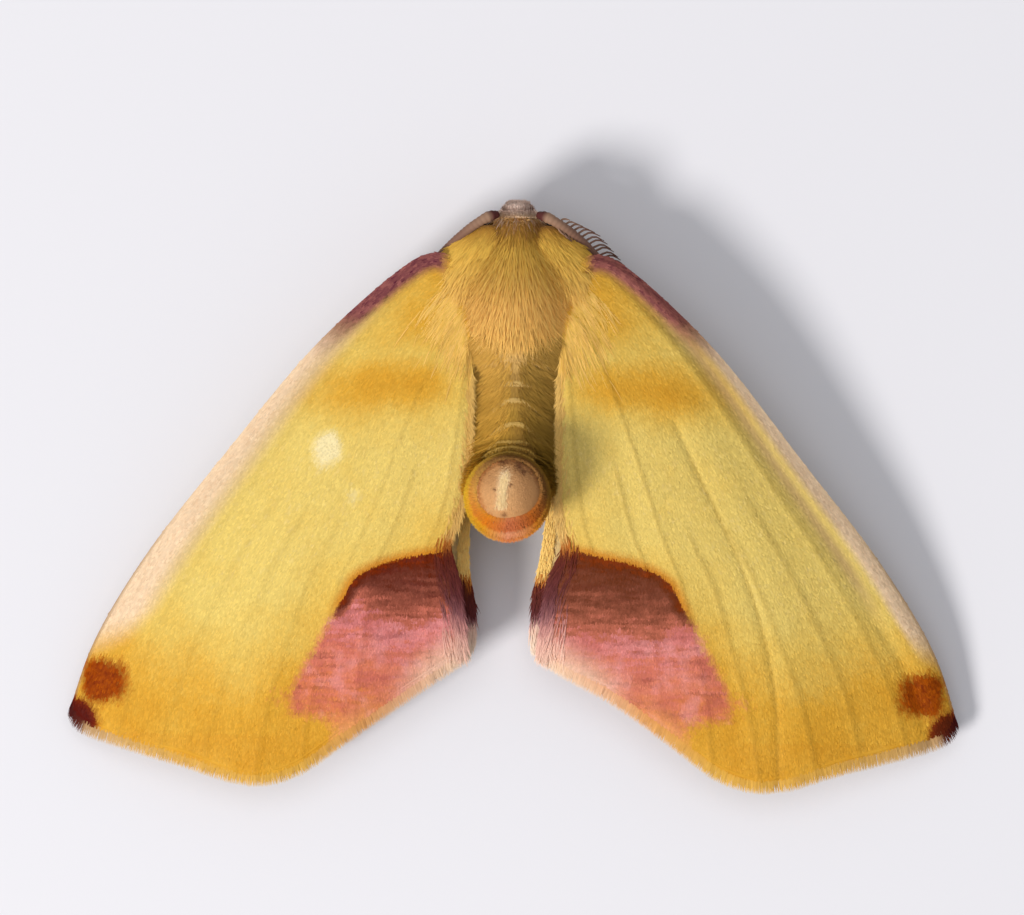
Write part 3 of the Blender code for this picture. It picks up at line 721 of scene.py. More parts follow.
def scale_seats(top, row_step, step, maker):
    """Shares of rows and columns where scales are rooted, in rows across the wing."""
    along = line_length(top[:, top.shape[1] // 3])
    seats = []
    for k in range(int(along / row_step)):
        a = (k + 0.5) * row_step / along
        number = max(int(line_length(top[int(a * (top.shape[0] - 1))]) / step), 3)
        b = (np.arange(number) + 0.25 + 0.5 * (k % 2)) / number
        a = a + maker.normal(0, 0.0012, number)
        seats.append(np.stack([a, b + maker.normal(0, 0.25 / number, number)], axis=1))
    return np.clip(np.vstack(seats), 0.001, 0.999)


def put_coat(name, side, coat, uv_roots, root_fields, material, nodes, corner_fields=()):
    """A coat in one mesh. Each scale or hair has the values and a small patch of the unwrap at its root."""
    points, triangles, local = coat[:3]
    fields = {key: np.repeat(values, len(local), axis=0) for key, values in root_fields.items()}
    fields.update(corner_fields)
    uv = (uv_roots[:, None] + local[None] * COAT_PATCH).reshape(-1, 2)
    put_piece(name, points, triangles, material, nodes, uv, fields, side)


def put_wing_scales(name, side, read, coat, marks, chance, material, face="upper"):
    """Scales over one face of a wing, each with the markings found at its root."""
    wing = name.split("_")[0]
    root_fields = {**marks, "root_place": mirrored(read["place"], side), "chance": chance}
    put_coat(f"{name}_{SIDES[side]}", side, coat, skin_uv(*read["share"].T, face), root_fields, material,
             [f"{wing}_{SIDES[side]}"])


for side, label in SIDES.items():
    edges, nets = fore_edges[side], fore_tops[side]
    seats = scale_seats(nets["place"], SCALE_ROW_STEP, SCALE_STEP, chance_maker)
    read = read_nets(nets, *seats.T)
    u, v = read["share"].T
    marks = fore_fields(edges, side, u, v, read["place"][:, :2])
    number = len(seats)
    turn = chance_maker.normal(0, 0.08, number)[:, None]
    across = np.cross(read["normal"], read["way"])
    ways = read["way"] * np.cos(turn) + across * np.sin(turn)
    bare = marks["base_lay"][:, 0] < -0.35
    grain = chance_maker.random(number)
    longs = SCALE_LONG * chance_maker.uniform(0.8, 1.2, number) * np.where(bare, 0.5, 1.0)
    wides = SCALE_WIDE * chance_maker.uniform(0.85, 1.15, number)
    calm = ease(0.0, 0.16, np.minimum(v, 1 - v) * chord_length(edges, u))
    coat = shingle(read["place"] + read["normal"] * 0.003, ways, read["normal"], longs,
                   wides * (0.55 + 0.45 * calm), chance_maker.uniform(0.004, 0.014, number) * calm,
                   chance_maker.normal(0, 0.005, number) * calm)
    put_wing_scales("forewing_scales", side, read, coat, marks, grain,
                    wing_material(f"forewing_scale_coat_{label}", FORE_PAINTED_SHADE[side], 0.5, 0.25))


# Fringes of the forewings
# Hair-scales stand in overlapping rows along the outer edge, pale and dusky by turns,
# and finer dark and rosy hairs hang over the rear edge beside the wine-brown patch.
FRINGE_STEP = 0.006
FRINGE_ROWS = 3
HAIR_SHINE = 0.06


def drawn(maker, number, wide, lift, bend):
    """Random widths and lifts between two limits, and random bends."""
    return maker.uniform(*wide, number), maker.uniform(*lift, number), maker.normal(0, bend, number)


def ribbons(roots, ways, normals, longs, wides, lifts, bends):
    """Tapered hair-scales: flat at the root, arched by lifts and curved sideways by bends."""
    across = unit(np.cross(normals, ways))
    corners = []
    for forth, taper in ((0.0, 0.55), (0.34, 1.0), (0.70, 0.72)):
        middle = (roots + ways * (longs * forth)[:, None]
                  + normals * (lifts * math.sin(math.pi * forth * 0.9))[:, None]
                  + across * (bends * forth ** 2)[:, None])
        for hand in (0.5, -0.5):
            corners.append(middle + across * (wides * taper * hand)[:, None])
    corners.append(roots + ways * longs[:, None] + normals * (lifts * 0.3)[:, None] + across * bends[:, None])
    points = np.stack(corners, axis=1)
    shape = np.array([(0, 2, 1), (1, 2, 3), (2, 4, 3), (3, 4, 5), (4, 6, 5)])
    triangles = ((np.arange(len(roots)) * 7)[:, None, None] + shape[None]).reshape(-1, 3)
    local = np.array([(-0.5, 0.3), (-0.5, -0.3), (-0.1, 0.5), (-0.1, -0.5), (0.3, 0.3), (0.3, -0.3),
                      (0.5, 0.0)])
    along = np.array([0, 0, 0.34, 0.34, 0.7, 0.7, 1.0])
    return points.reshape(-1, 3), triangles, local, along


strand_colours, given, result = new_group(
    "strand_colours",
    [("Root colour", "colour"), ("Tip colour", "colour"), ("Along", "value"), ("Chance", "value")],
    [("Colour", "colour")])
T = strand_colours
chance = given.outputs["Chance"]
colour = blend_colours(T, given.outputs["Along"], given.outputs["Root colour"], given.outputs["Tip colour"])
colour = cover(T, colour, calc(T, "GREATER_THAN", chance, 0.88), 0.18, tone(110, 66, 28))
colour = levelled(T, colour, calc(T, "ADD", 0.88, calc(T, "MULTIPLY", chance, 0.18)))
T.links.new(colour, result.inputs["Colour"])


def strand_material(name, root_stops, tip_stops, roughness=0.55, gains=(1.0, 1.0)):
    """Hairs whose root and tip colours follow their place along the animal."""
    material, marks = grouped_material(name, tone(*root_stops[0][1:]), roughness, HAIR_SHINE, strand_colours,
                                       {"Along": "along", "Chance": "chance"})
    tree = material.node_tree
    where = field(tree, "where")
    tree.links.new(ramp(tree, where, root_stops, gains[0]), marks.inputs["Root colour"])
    tree.links.new(ramp(tree, where, tip_stops, gains[1]), marks.inputs["Tip colour"])
    return material


def put_strands(name, side, strands, uv_roots, where, maker, material, nodes):
    """A coat of ribbons in one mesh, with each one's place, chance and share of length."""
    number = len(uv_roots)
    put_coat(name, side, strands, uv_roots, {"chance": maker.random(number), "where": where}, material,
             nodes, {"along": np.tile(strands[3], number)})


def put_rows(name, side, rows, maker, material, nodes):
    """One coat from several sets of hairs: their seven measures, places on the unwrap and places along."""
    *measures, uv_roots, where = [np.concatenate(part) for part in zip(*rows)]
    put_strands(name, side, ribbons(*measures), uv_roots, where, maker, material, nodes)


fringe_paint = strand_material(
    "fringe_hair",
    [(0.0, 58, 8, 10), (0.046, 78, 20, 10), (0.062, 186, 142, 92), (0.15, 208, 160, 84),
     (0.30, 218, 164, 68), (0.55, 220, 164, 60), (0.72, 212, 140, 76), (0.84, 226, 160, 120),
     (1.0, 234, 194, 164)],
    [(0.0, 70, 14, 14), (0.046, 96, 38, 24), (0.062, 206, 170, 126), (0.15, 220, 178, 112),
     (0.30, 226, 178, 90), (0.55, 230, 184, 90), (0.72, 228, 172, 106), (0.84, 238, 196, 156),
     (1.0, 244, 218, 190)])
rear_paint = strand_material(
    "rear_edge_hair",
    [(0.0, 222, 176, 92), (0.57, 226, 182, 100), (0.60, 180, 96, 28), (0.63, 98, 36, 20),
     (0.74, 100, 46, 40), (0.80, 124, 68, 62), (0.84, 190, 120, 112), (0.90, 228, 166, 148),
     (1.0, 236, 196, 166)],
    [(0.0, 228, 184, 100), (0.57, 236, 196, 118), (0.60, 190, 112, 44), (0.63, 104, 42, 30),
     (0.74, 104, 50, 54), (0.80, 146, 94, 100), (0.84, 208, 148, 142), (0.90, 244, 200, 180),
     (1.0, 246, 222, 196)])
fringe_maker = np.random.default_rng(31)
for side, label in SIDES.items():
    nets = fore_tops[side]
    rim = nets["place"][-1]
    number = int(line_length(rim) / FRINGE_STEP)
    rows = []
    for row in range(FRINGE_ROWS):
        b = np.clip((np.arange(number) + fringe_maker.uniform(0, 1, number)) / number, 0.001, 0.999)
        a = np.full(number, 0.996 - 0.008 * row)
        read = read_nets(nets, a, b)
        line = at_shares(rim, b + 0.004) - at_shares(rim, b - 0.004)
        outward = unit(np.cross(read["normal"], line))
        outward *= np.sign((outward * read["way"]).sum(axis=1, keepdims=True))
        straight = np.interp(b, [0, 0.03, 0.09], [0.05, 0.35, 0.62])[:, None]
        ways = outward * straight + read["way"] * (1 - straight)
        ways = unit(ways + fringe_maker.normal(0, 0.03, (number, 3)) * (1, 1, 0.3))
        longs = (FORE_FRINGE + 0.05 + 0.02 * row) * fringe_maker.uniform(0.92, 1.03, number)
        rows.append((read["place"] - read["normal"] * (0.02 * row), ways, read["normal"], longs,
                     *drawn(fringe_maker, number, (0.011, 0.019), (-0.005, 0.015), 0.010), skin_uv(a, b), b))
    put_rows(f"forewing_fringe_{label}", side, rows, fringe_maker, fringe_paint,
             [f"forewing_{label}"])
    number = 3600
    a = np.concatenate([fringe_maker.uniform(0.60, 0.985, 2300), fringe_maker.uniform(0.09, 0.60, 1300)])
    b = 1 - np.where(fringe_maker.random(number) < 0.88, 0.026, 0.060) * fringe_maker.random(number) ** 1.6
    read = read_nets(nets, a, b)
    inward = np.cross(read["way"], read["normal"])
    inward *= np.sign(-inward[:, :1])
    y = read["place"][:, 1]
    turn_in = np.interp(y, [-4.5, -3, -1.3, -0.8, 0.5], [0.05, 0.12, 0.10, 0.24, 0.40])[:, None]
    ways = unit(read["way"] + inward * turn_in + fringe_maker.normal(0, 0.06, (number, 3)))
    longs = np.interp(y, [-4.4, -3, -1, 0], [0.60, 0.62, 0.50, 0.34]) * fringe_maker.uniform(0.7, 1.1, number)
    coat = ribbons(read["place"], ways, read["normal"], longs,
                   *drawn(fringe_maker, number, (0.014, 0.024), (0.01, 0.06), 0.04))
    where = np.interp(y, [-4.4, 4.0], [1.0, 0.0])
    put_strands(f"forewing_rear_hair_{label}", side, coat, skin_uv(a, b), where, fringe_maker, rear_paint,
                [f"forewing_{label}"])


# Scales under the forewings
# The lower face is shingled too, paler and sparser, with the same markings showing through.
# Its scales are broader, and they lie calmer and smaller near the edges.
UNDER_ROW_STEP = 0.105
UNDER_STEP = 0.085
for side, label in SIDES.items():
    edges, nets = fore_edges[side], fore_unders[side]
    seats = scale_seats(nets["place"], UNDER_ROW_STEP, UNDER_STEP, fringe_maker)
    seats = seats * (0.982, 0.988) + (0.0, 0.006)
    read = read_nets(nets, *seats.T)
    u, v = read["share"].T
    number = len(seats)
    calm = ease(0.0, 0.25, np.minimum(v, 1 - v) * chord_length(edges, u))
    coat = shingle(read["place"], read["way"], read["normal"],
                   fringe_maker.uniform(0.15, 0.21, number) * (0.6 + 0.4 * calm),
                   fringe_maker.uniform(0.08, 0.11, number) * (0.5 + 0.5 * calm),
                   fringe_maker.uniform(0.01, 0.025, number) * calm,
                   fringe_maker.normal(0, 0.01, number) * calm)
    marks = fore_fields(edges, side, u, v, read["place"][:, :2])
    put_wing_scales("forewing_under_scales", side, read, coat, marks, fringe_maker.random(number),
                    wing_material(f"forewing_under_coat_{label}", 0.12, 0.6, 0.25), "lower")


# Hindwings
# Smaller, rounder membranes tucked under the forewings. Only a strip of each shows beside
# the abdomen: cream, then a rust line, dark wine hair and a long cream fringe.
HIND_COSTA = [(1.3, 3.95), (2.6, 3.1), (4.6, 1.0), (6.5, -2.0), (7.35, -4.7)]
HIND_MARGIN = [(7.35, -4.7), (6.7, -5.9), (5.4, -6.45), (4.2, -6.0), (2.8, -5.15), (1.6, -4.5), (0.82, -4.15)]
HIND_DORSUM = [(1.05, 3.1), (0.92, 1.6), (0.92, 0.2), (0.98, -1.0), (0.90, -1.9),
               (0.76, -2.9), (0.74, -3.5), (0.82, -4.15)]
HIND_DROP = 0.92
HIND_FRINGE = 0.40
HIND_TOP = 0.12
HIND_LENGTHS = [10.5, 8.6, 7.2]
HIND_ROW_STEP = 0.10
HIND_STEP = 0.075
HIND_VEINS = {"radius": (0.12, 0.0, 1.0), "media_1": (0.30, 0.45, 1.0), "media_3": (0.48, 0.45, 1.0),
              "cubitus": (0.64, 0.0, 1.0), "anal": (0.86, 0.0, 1.0)}
HIND_BAND = [(0.3, -1.93), (1.6, -1.98), (3.2, -2.3), (4.6, -3.0), (5.6, -4.0), (6.4, -6.0)]
HIND_ROWS, HIND_COLUMNS = 90, 80


def hind_fields(edges, u, v, plan):
    """The hindwing's markings on the forewing's scheme: lemon, then a wine band to the margin."""
    x, y = plan[..., 0], plan[..., 1]
    from_margin, _ = to_line(plan, edges[1])
    band = smooth_line(HIND_BAND, 400)
    off, share = to_line(plan, band)
    below = y < np.interp(x, band[:, 0], band[:, 1])
    signed = np.where(below, off, -off)
    mask = ease(-0.05, 0.10, signed)
    halo = ease(-0.35, 0.0, signed)
    fade = ease(1.3, 0.3, from_margin) * ease(2.2, 4.0, x)
    # Painted shade along the hindwing's veins.
    vein_shade = 0.5 * vein_closeness(edges, u, v, HIND_VEINS, 0.08)
    zero = np.zeros_like(x)
    cream = ease(0.9, 0.1, from_margin) * ease(2.4, 1.2, x)
    finger = 0.45 * ease(-2.1, -1.7, y) * ease(2.4, 1.6, x)
    return {
        "base_lay": np.stack([zero + 0.05, finger, zero], axis=-1),
        "patch_lay": np.stack([mask, np.clip(off / 3.2, 0, 1), halo], axis=-1),
        "spot_lay": np.stack([zero, zero, fade], axis=-1),
        "line_lay": np.stack([vein_shade, zero, cream * (1 - mask)], axis=-1),
    }


hind_skin = wing_material("hindwing_skin", 0.0, 0.62, 0.5)
hind_coat = wing_material("hindwing_scale_coat", 0.0, 0.52, 0.25)
inner_paint = strand_material(
    "hindwing_inner_hair",
    [(0.0, 252, 200, 104), (0.57, 254, 204, 108), (0.60, 190, 96, 24), (0.63, 92, 30, 18),
     (0.76, 88, 34, 34), (0.83, 150, 96, 100), (0.88, 232, 182, 160), (1.0, 242, 208, 180)],
    [(0.0, 255, 214, 124), (0.57, 255, 218, 130), (0.60, 206, 120, 40), (0.63, 104, 42, 30),
     (0.76, 106, 52, 54), (0.83, 186, 134, 134), (0.88, 246, 210, 190), (1.0, 250, 228, 204)])
hind_maker = np.random.default_rng(47)
for side, label in SIDES.items():
    edges = wing_edges(HIND_COSTA, HIND_MARGIN, HIND_DORSUM, side)
    rows, v = wing_shares(HIND_ROWS, HIND_COLUMNS)
    u = rows * (1 - HIND_FRINGE / np.interp(v, [0, 0.5, 1], HIND_LENGTHS))
    plan = wing_plan(edges, u, v)
    sheet = wing_height(plan) - HIND_DROP
    lift = 0.03 * vein_closeness(edges, u, v, HIND_VEINS, 0.08)
    lift += 0.02 * np.sin(v * 11 * math.pi) * ease(0.1, 0.5, u)
    rim = ease(0, 0.3, np.minimum(np.minimum(v, 1 - v) * chord_length(edges, u), (1 - rows) * 9))
    top = np.dstack([plan, sheet + HIND_TOP + lift])
    under = np.dstack([plan, sheet + 0.10 - 0.09 * rim + lift * 0.5])
    put_membrane("hindwing", side, top, under, u, v, hind_fields(edges, u, v, plan), hind_skin)
    nets = sheet_nets(top, u, v)
    for face, face_nets in (("upper", nets), ("lower", sheet_nets(under, u, v, facing=-1))):
        seats = scale_seats(face_nets["place"], HIND_ROW_STEP, HIND_STEP, hind_maker)
        read = read_nets(face_nets, *seats.T)
        number = len(seats)
        coat = shingle(read["place"], read["way"], read["normal"], hind_maker.uniform(0.14, 0.19, number),
                       *drawn(hind_maker, number, (0.07, 0.10), (0.01, 0.022), 0.01))
        put_wing_scales(f"hindwing_{face}_scales", side, read, coat,
                        hind_fields(edges, *read["share"].T, read["place"][:, :2]), hind_maker.random(number),
                        hind_coat, face)
    number = 2100
    b = np.clip((np.arange(number) + hind_maker.random(number)) / number, 0.001, 0.999)
    a = 1 - 0.01 * hind_maker.random(number)
    read = read_nets(nets, a, b)
    ways = unit(read["way"] + hind_maker.normal(0, 0.06, (number, 3)) * (1, 1, 0.3))
    fringe = (read["place"], ways, read["normal"], 0.44 * hind_maker.uniform(0.8, 1.05, number),
              *drawn(hind_maker, number, (0.03, 0.045), (-0.01, 0.03), 0.02), skin_uv(a, b),
              np.full(number, 0.95))
    number = 2200
    a = hind_maker.uniform(0.30, 0.99, number)
    b = 1 - 0.05 * hind_maker.random(number) ** 1.5
    read = read_nets(nets, a, b)
    y = read["place"][:, 1]
    rise = (0.0, 0.0, 0.05 if side > 0 else 0.22)
    ways = unit(read["way"] + rise + hind_maker.normal(0, 0.06, (number, 3)))
    longs = np.interp(y, [-4.2, -3, -2, -1.8, 0], [0.50, 0.62, 0.60, 0.30, 0.22])
    where = np.interp(y, [-3.5, -3.0, -2.75, -2.05, -1.95, -1.85, 2.0],
                      [1.0, 0.87, 0.74, 0.63, 0.60, 0.57, 0.0])
    inner = (read["place"], ways, read["normal"], longs * hind_maker.uniform(0.7, 1.1, number),
             *drawn(hind_maker, number, (0.018, 0.032), (0.01, 0.08), 0.04), skin_uv(a, b), where)
    put_rows(f"hindwing_fringe_{label}", side, [fringe, inner], hind_maker, inner_paint,
             [f"hindwing_{label}"])


# Body skin
# One unbroken skin runs from the face over the thorax to the raised tip of the abdomen.
# It lies under the coat by the coat's depth, with a soft step at each ring of the abdomen.
# Stations: y, z, heading in degrees (0 to the rear, 90 upward), half-width, half-height.
BODY_STATIONS = [
    (7.38, 1.98, 0, 0.16, 0.20), (7.30, 1.98, 0, 0.40, 0.46), (7.14, 2.0, 0, 0.58, 0.66),
    (6.85, 2.02, 0, 0.68, 0.80), (6.50, 2.05, 0, 0.76, 0.86), (6.22, 2.07, 0, 0.90, 0.95),
    (5.95, 2.08, 0, 1.02, 1.03), (5.6, 2.09, 0, 1.09, 1.12), (5.0, 2.1, 0, 1.13, 1.18),
    (4.3, 2.1, 0, 1.10, 1.15), (3.8, 2.08, 0, 1.00, 1.04), (3.4, 2.03, 0, 0.92, 0.92),
    (3.1, 2.0, 0, 0.91, 0.86), (2.6, 2.0, 0, 0.92, 0.86), (2.0, 2.0, 0, 0.93, 0.87),
    (1.45, 2.0, 0, 0.93, 0.88)]
BEND_Y, BEND_RADIUS = 1.45, 1.5
# Stations of the raised end, in the same five measures.
TIP_STATIONS = [(-0.05, 3.75, 90, 0.96, 0.96), (-0.04, 4.00, 90, 0.99, 0.99), (-0.03, 4.14, 90, 0.98, 0.98),
                (0.01, 4.25, 90, 0.96, 0.95), (0.03, 4.36, 90, 0.93, 0.92), (0.05, 4.46, 90, 0.89, 0.88),
                (0.08, 4.55, 90, 0.84, 0.83), (0.10, 4.62, 90, 0.78, 0.77), (0.11, 4.69, 90, 0.70, 0.69),
                (0.13, 4.76, 90, 0.56, 0.55), (0.14, 4.81, 90, 0.38, 0.37), (0.15, 4.84, 90, 0.17, 0.17)]
BODY_ROWS, BODY_COLUMNS = 260, 72
TIP_LEAN = -0.14
TIP_FRONT = 0.13
RING_STARTS = [(3.50, 0.15), (2.88, 0.35), (2.44, 1.55), (1.84, 1.55)]
RING_TURNS = [(4, 1.5), (24, 1.3), (44, 1.05), (64, 0.75)]

stations = list(BODY_STATIONS)
for turn in range(10, 91, 10):
    angle = math.radians(turn)
    stations.append((BEND_Y - BEND_RADIUS * math.sin(angle), 2.0 + BEND_RADIUS * (1 - math.cos(angle)), turn,
                     0.93 + 0.0002 * turn, 0.89 + 0.0004 * turn))
stations += TIP_STATIONS
spine = smooth_line(np.array([(s[0], s[1], s[2] / 60.0, s[3], s[4]) for s in stations]), BODY_ROWS - 1)
turns = np.radians(spine[:, 2] * 60.0)
around = np.linspace(0, 2 * math.pi, BODY_COLUMNS, endpoint=False)
lean = TIP_LEAN * np.clip((BEND_Y + 0.3 - spine[:, 0]) / 1.8, 0, 1)
travelled = np.concatenate([[0.0], np.cumsum(np.linalg.norm(np.diff(spine[:, :2], axis=0), axis=1))])
body_share = travelled / travelled[-1]
flat = turns < 0.02
ring_places = [(np.interp(-y, -spine[flat, 0], travelled[flat]), sweep) for y, sweep in RING_STARTS]
ring_places += [(np.interp(math.radians(t), turns, travelled), sweep) for t, sweep in RING_TURNS]
ring_step = np.zeros((BODY_ROWS, BODY_COLUMNS))


def swept_back(angle, sweep):
    """How far a ring's rear edge runs back at this angle from the top of the body."""
    return sweep * (1 - np.maximum(np.cos(angle), 0.0))


for spot, sweep in ring_places:
    past = travelled[:, None] - spot - swept_back(around, sweep)[None, :]
    ring_step += 0.05 * ease(-0.40, -0.02, past) * ease(0.03, 0.0, past)
normal_up = np.stack([np.zeros(BODY_ROWS), np.sin(turns), np.cos(turns)], 1)
centre = np.stack([lean, spine[:, 0], spine[:, 1]], 1)
wide = spine[:, 3, None] + ring_step
tall = spine[:, 4, None] + ring_step
body_net = (centre[:, None] + (wide * np.sin(around))[..., None] * np.array([1.0, 0, 0])
            + (tall * np.cos(around))[..., None] * normal_up[:, None])


def net_frame(net, middle_line):
    """Outward unit normals and unit ways towards the tail, for a closed net round a line."""
    along = np.gradient(net, axis=0)
    normal = unit(np.cross(along, (np.roll(net, -1, axis=1) - np.roll(net, 1, axis=1)) / 2))
    outward = net - middle_line[:, None]
    return normal * np.sign((normal * outward).sum(axis=-1, keepdims=True) + 1e-12), unit(along)


def tip_fields(points):
    """Markings on the raised tip: a cream streak, dark dots, and painted shade to the right."""
    x, y = points[..., 0] - TIP_LEAN, points[..., 1]
    high = ease(4.15, 4.45, points[..., 2])
    streak = np.exp(-((x + 0.15 - 0.12 * y) / 0.10) ** 2) * ease(-0.38, -0.2, y) * ease(0.74, 0.54, y) * high
    dots = np.zeros_like(x)
    for spot_x, spot_y, size in ((-0.11, 0.86, 0.11), (-0.09, -0.47, 0.075), (0.23, 0.74, 0.09),
                                 (0.05, 0.30, 0.035), (-0.31, 0.19, 0.035), (0.34, 0.62, 0.07)):
        dots = np.maximum(dots, np.exp(-((x - spot_x) ** 2 + (y - spot_y) ** 2) / size ** 2))
    # The face darkens to the right: painted shade of its side away from the light, with a dusky blot on its
    # left.
    dusk_and_shade = ease(-0.15, 0.55, x + 0.30 * y) + 0.5 * np.exp(-((x + 0.44) ** 2 + (y - 0.42) ** 2) / 0.05)
    dusk_and_shade = np.minimum(dusk_and_shade, 1) * high * 0.92
    # The right of the abdomen is darkened too: partly its darker hair, partly painted shade.
    dusk_and_shade = dusk_and_shade + 0.42 * ease(-0.35, 0.45, x) * ease(3.5, 2.9, y) * ease(0.5, 1.0, y) * (1 - high)
    return np.stack([streak, dots * high, dusk_and_shade], axis=-1)


BODY_STOPS = [(0.0, 204, 180, 164), (0.018, 198, 168, 142), (0.032, 172, 120, 66),
              (0.055, 182, 132, 52), (0.09, 224, 178, 76), (0.14, 230, 184, 88),
              (0.21, 240, 192, 104), (0.33, 238, 190, 100), (0.37, 230, 186, 108), (0.40, 208, 166, 96),
              (0.45, 180, 140, 70), (0.54, 180, 140, 52), (0.62, 164, 124, 44),
              (0.74, 166, 124, 44), (0.83, 204, 146, 42), (0.895, 222, 148, 36),
              (0.935, 168, 104, 54), (0.955, 196, 138, 84), (0.98, 212, 158, 104),
              (1.0, 214, 162, 108)]

body_colours, given, result = new_group(
    "body_coat_colours",
    [("Along body", "value"), ("Under", "value"), ("Tip", "vector"), ("Place", "vector"),
     ("Chance", "value")],
    [("Colour", "colour"), ("Grain", "value")])
T = body_colours
grain = mottle(T, given.outputs["Place"], 7.0, 4.0)
where = varied(T, given.outputs["Along body"], grain, 0.5, 0.02, clamp=True)
colour = ramp(T, where, BODY_STOPS)
colour = blend_colours(T, given.outputs["Under"], colour, tone(228, 182, 112))
streak, dots, dusk_and_shade = split(T, given.outputs["Tip"])
# Painted shade on the right of the tip and abdomen, with some dusky colour.
colour = cover(T, colour, dusk_and_shade, 0.7, tone(142, 98, 60))
colour = cover(T, colour, streak, 0.85, tone(240, 214, 170))
colour = cover(T, colour, dots, 0.85, tone(88, 48, 30))
colour = levelled(T, colour, calc(T, "ADD", 0.88, calc(T, "MULTIPLY", given.outputs["Chance"], 0.20)))
T.links.new(colour, result.inputs["Colour"])
T.links.new(grain, result.inputs["Grain"])
BODY_SHINE = 0.08
BODY_SOURCES = {"Along body": "body_share", "Under": "under", "Tip": "tip_lay", "Place": "root_place",
                "Chance": "chance"}


def body_material(name, roughness, bump, darker=False):
    """Golden skin or fur, whose colour changes along the body. The bare skin is a little darker."""
    material, marks = grouped_material(name, tone(200, 150, 70), roughness, BODY_SHINE, body_colours,
                                       BODY_SOURCES, bump)
    if darker:
        tree = material.node_tree
        colour = blend_colours(tree, 0.22, marks.outputs["Colour"], tone(110, 70, 28))
        tree.links.new(colour, tree.nodes["Principled BSDF"].inputs["Base Color"])
    return material


def capped(net, first, last):
    """Points and triangles of a closed net, with a point added to shut each end."""
    rows, columns = net.shape[:2]
    points = np.vstack([net.reshape(-1, 3), first, last])
    ring_a = np.arange(columns)
    ring_b = np.roll(ring_a, -1)
    far = (rows - 1) * columns
    triangles = np.vstack([grid_triangles(rows, columns, closed=True),
                           np.stack([np.full(columns, rows * columns), ring_a, ring_b], 1),
                           np.stack([np.full(columns, rows * columns + 1), far + ring_b, far + ring_a], 1)])
    return points, triangles[:, ::-1]


def body_marks(share, places, chance, under=0.0, tip=0.0):
    """The fields that the body's colours read. Off the raised end there are no tip markings."""
    number = len(places)
    return {"body_share": share, "under": np.broadcast_to(under, number), "root_place": places,
            "tip_lay": np.broadcast_to(tip, (number, 3)), "chance": np.broadcast_to(chance, number)}


def wrapped(net):
    """A closed net with its first column repeated at the end."""
    return np.concatenate([net, net[:, :1]], axis=1)


FLESH = ["head", "thorax", "abdomen_base", "abdomen_middle", "abdomen_tip"]
body_normal, body_way = net_frame(body_net, centre)
body_under = ease(0.80, -0.25, np.cos(around))[None] * ease(0.82, 0.66, body_share)[:, None]
body_under = body_under * ease(0.36, 0.42, body_share)[:, None]
body_along = np.broadcast_to(body_share[:, None], body_net.shape[:2])
points, triangles = capped(body_net, centre[0] + (0, 0.05, 0), centre[-1] + (0, 0, 0.006))
body_uv = np.dstack(np.broadcast_arrays(0.02 + 0.96 * body_share[:, None],
                                        (0.02 + 0.96 * np.abs(around / math.pi - 1))[None]))
skin_paint = body_material("body_skin", 0.6, 0.6, darker=True)
marks = body_marks(np.append(body_along, (0.0, 1.0)), points, 0.5, np.append(body_under, (0.0, 0.0)),
                   tip_fields(points))
put_piece("body_skin", points, triangles, skin_paint, FLESH,
          np.vstack([body_uv.reshape(-1, 2), (0.01, 0.5), (0.99, 0.5)]), marks)


# Coat of the thorax and head
# Long golden hair lies back over the thorax and out over the wing roots, with a shorter
# dusky coat on the head and a lilac-grey brush between the antennae.
coat_maker = np.random.default_rng(58)
body_nets = {"place": wrapped(body_net), "normal": wrapped(body_normal), "way": wrapped(body_way),
             "uv": wrapped(body_uv), "share": wrapped(body_along)[..., None],
             "under": wrapped(body_under)[..., None]}
cell = np.linalg.norm(np.gradient(body_net, axis=0), axis=-1).mean(axis=1)
row_area = cell * (wide + tall).mean(axis=1)
row_shares = np.linspace(0, 1, BODY_ROWS)


def body_seats(number, low, high, maker):
    """Shares of rows and columns on the body skin between two body shares, even by area."""
    weights = np.where((body_share >= low) & (body_share <= high), row_area, 0.0)
    a = np.interp(maker.random(number), np.cumsum(weights) / weights.sum(), row_shares)
    return a, maker.random(number)


def put_body_coat(name, read, coat, share):
    """A coat over the body skin in the body's own colours."""
    put_coat(name, 1, coat, read["uv"],
             body_marks(share, read["place"], coat_maker.random(len(share)), read["under"][:, 0],
                        tip_fields(read["place"])), fur_paint, FLESH)


def put_body_strands(name, read, coat):
    """Hairs whose places in the body's colours are mixed a little."""
    share = read["share"][:, 0]
    put_body_coat(name, read, coat, np.clip(share + coat_maker.normal(0, 0.009, len(share)), 0, 1))


fur_paint = body_material("body_hair", 0.6, 0.2)
number = 30000
read = read_nets(body_nets, *body_seats(number, 0.03, 0.405, coat_maker))
y = read["place"][:, 1]
outward = read["place"] * (1, 0, 0)
sideways = np.interp(y, [3.2, 3.8, 4.5, 5.6, 6.6], [0.50, 0.48, 0.42, 0.52, 0.70])[:, None]
stand = np.interp(y, [3.0, 3.8, 5.5, 6.4, 7.0, 7.4], [0.06, 0.12, 0.13, 0.16, 0.20, 0.3])
stand = (stand * coat_maker.uniform(0.4, 1.4, number))[:, None]
ways = unit(read["way"] + outward * sideways + read["normal"] * stand
            + coat_maker.normal(0, 0.10, (number, 3)))
longs = np.interp(y, [3.4, 3.7, 4.4, 6.0, 6.6, 7.0, 7.4], [0.20, 0.30, 0.72, 1.00, 0.80, 0.42, 0.26])
longs = longs * coat_maker.uniform(0.55, 1.15, number)
coat = ribbons(read["place"] - read["normal"] * 0.02, ways, read["normal"], longs,
               *drawn(coat_maker, number, (0.016, 0.030), (0.0, 0.06), 0.05))
put_body_strands("thorax_and_head_hair", read, coat)

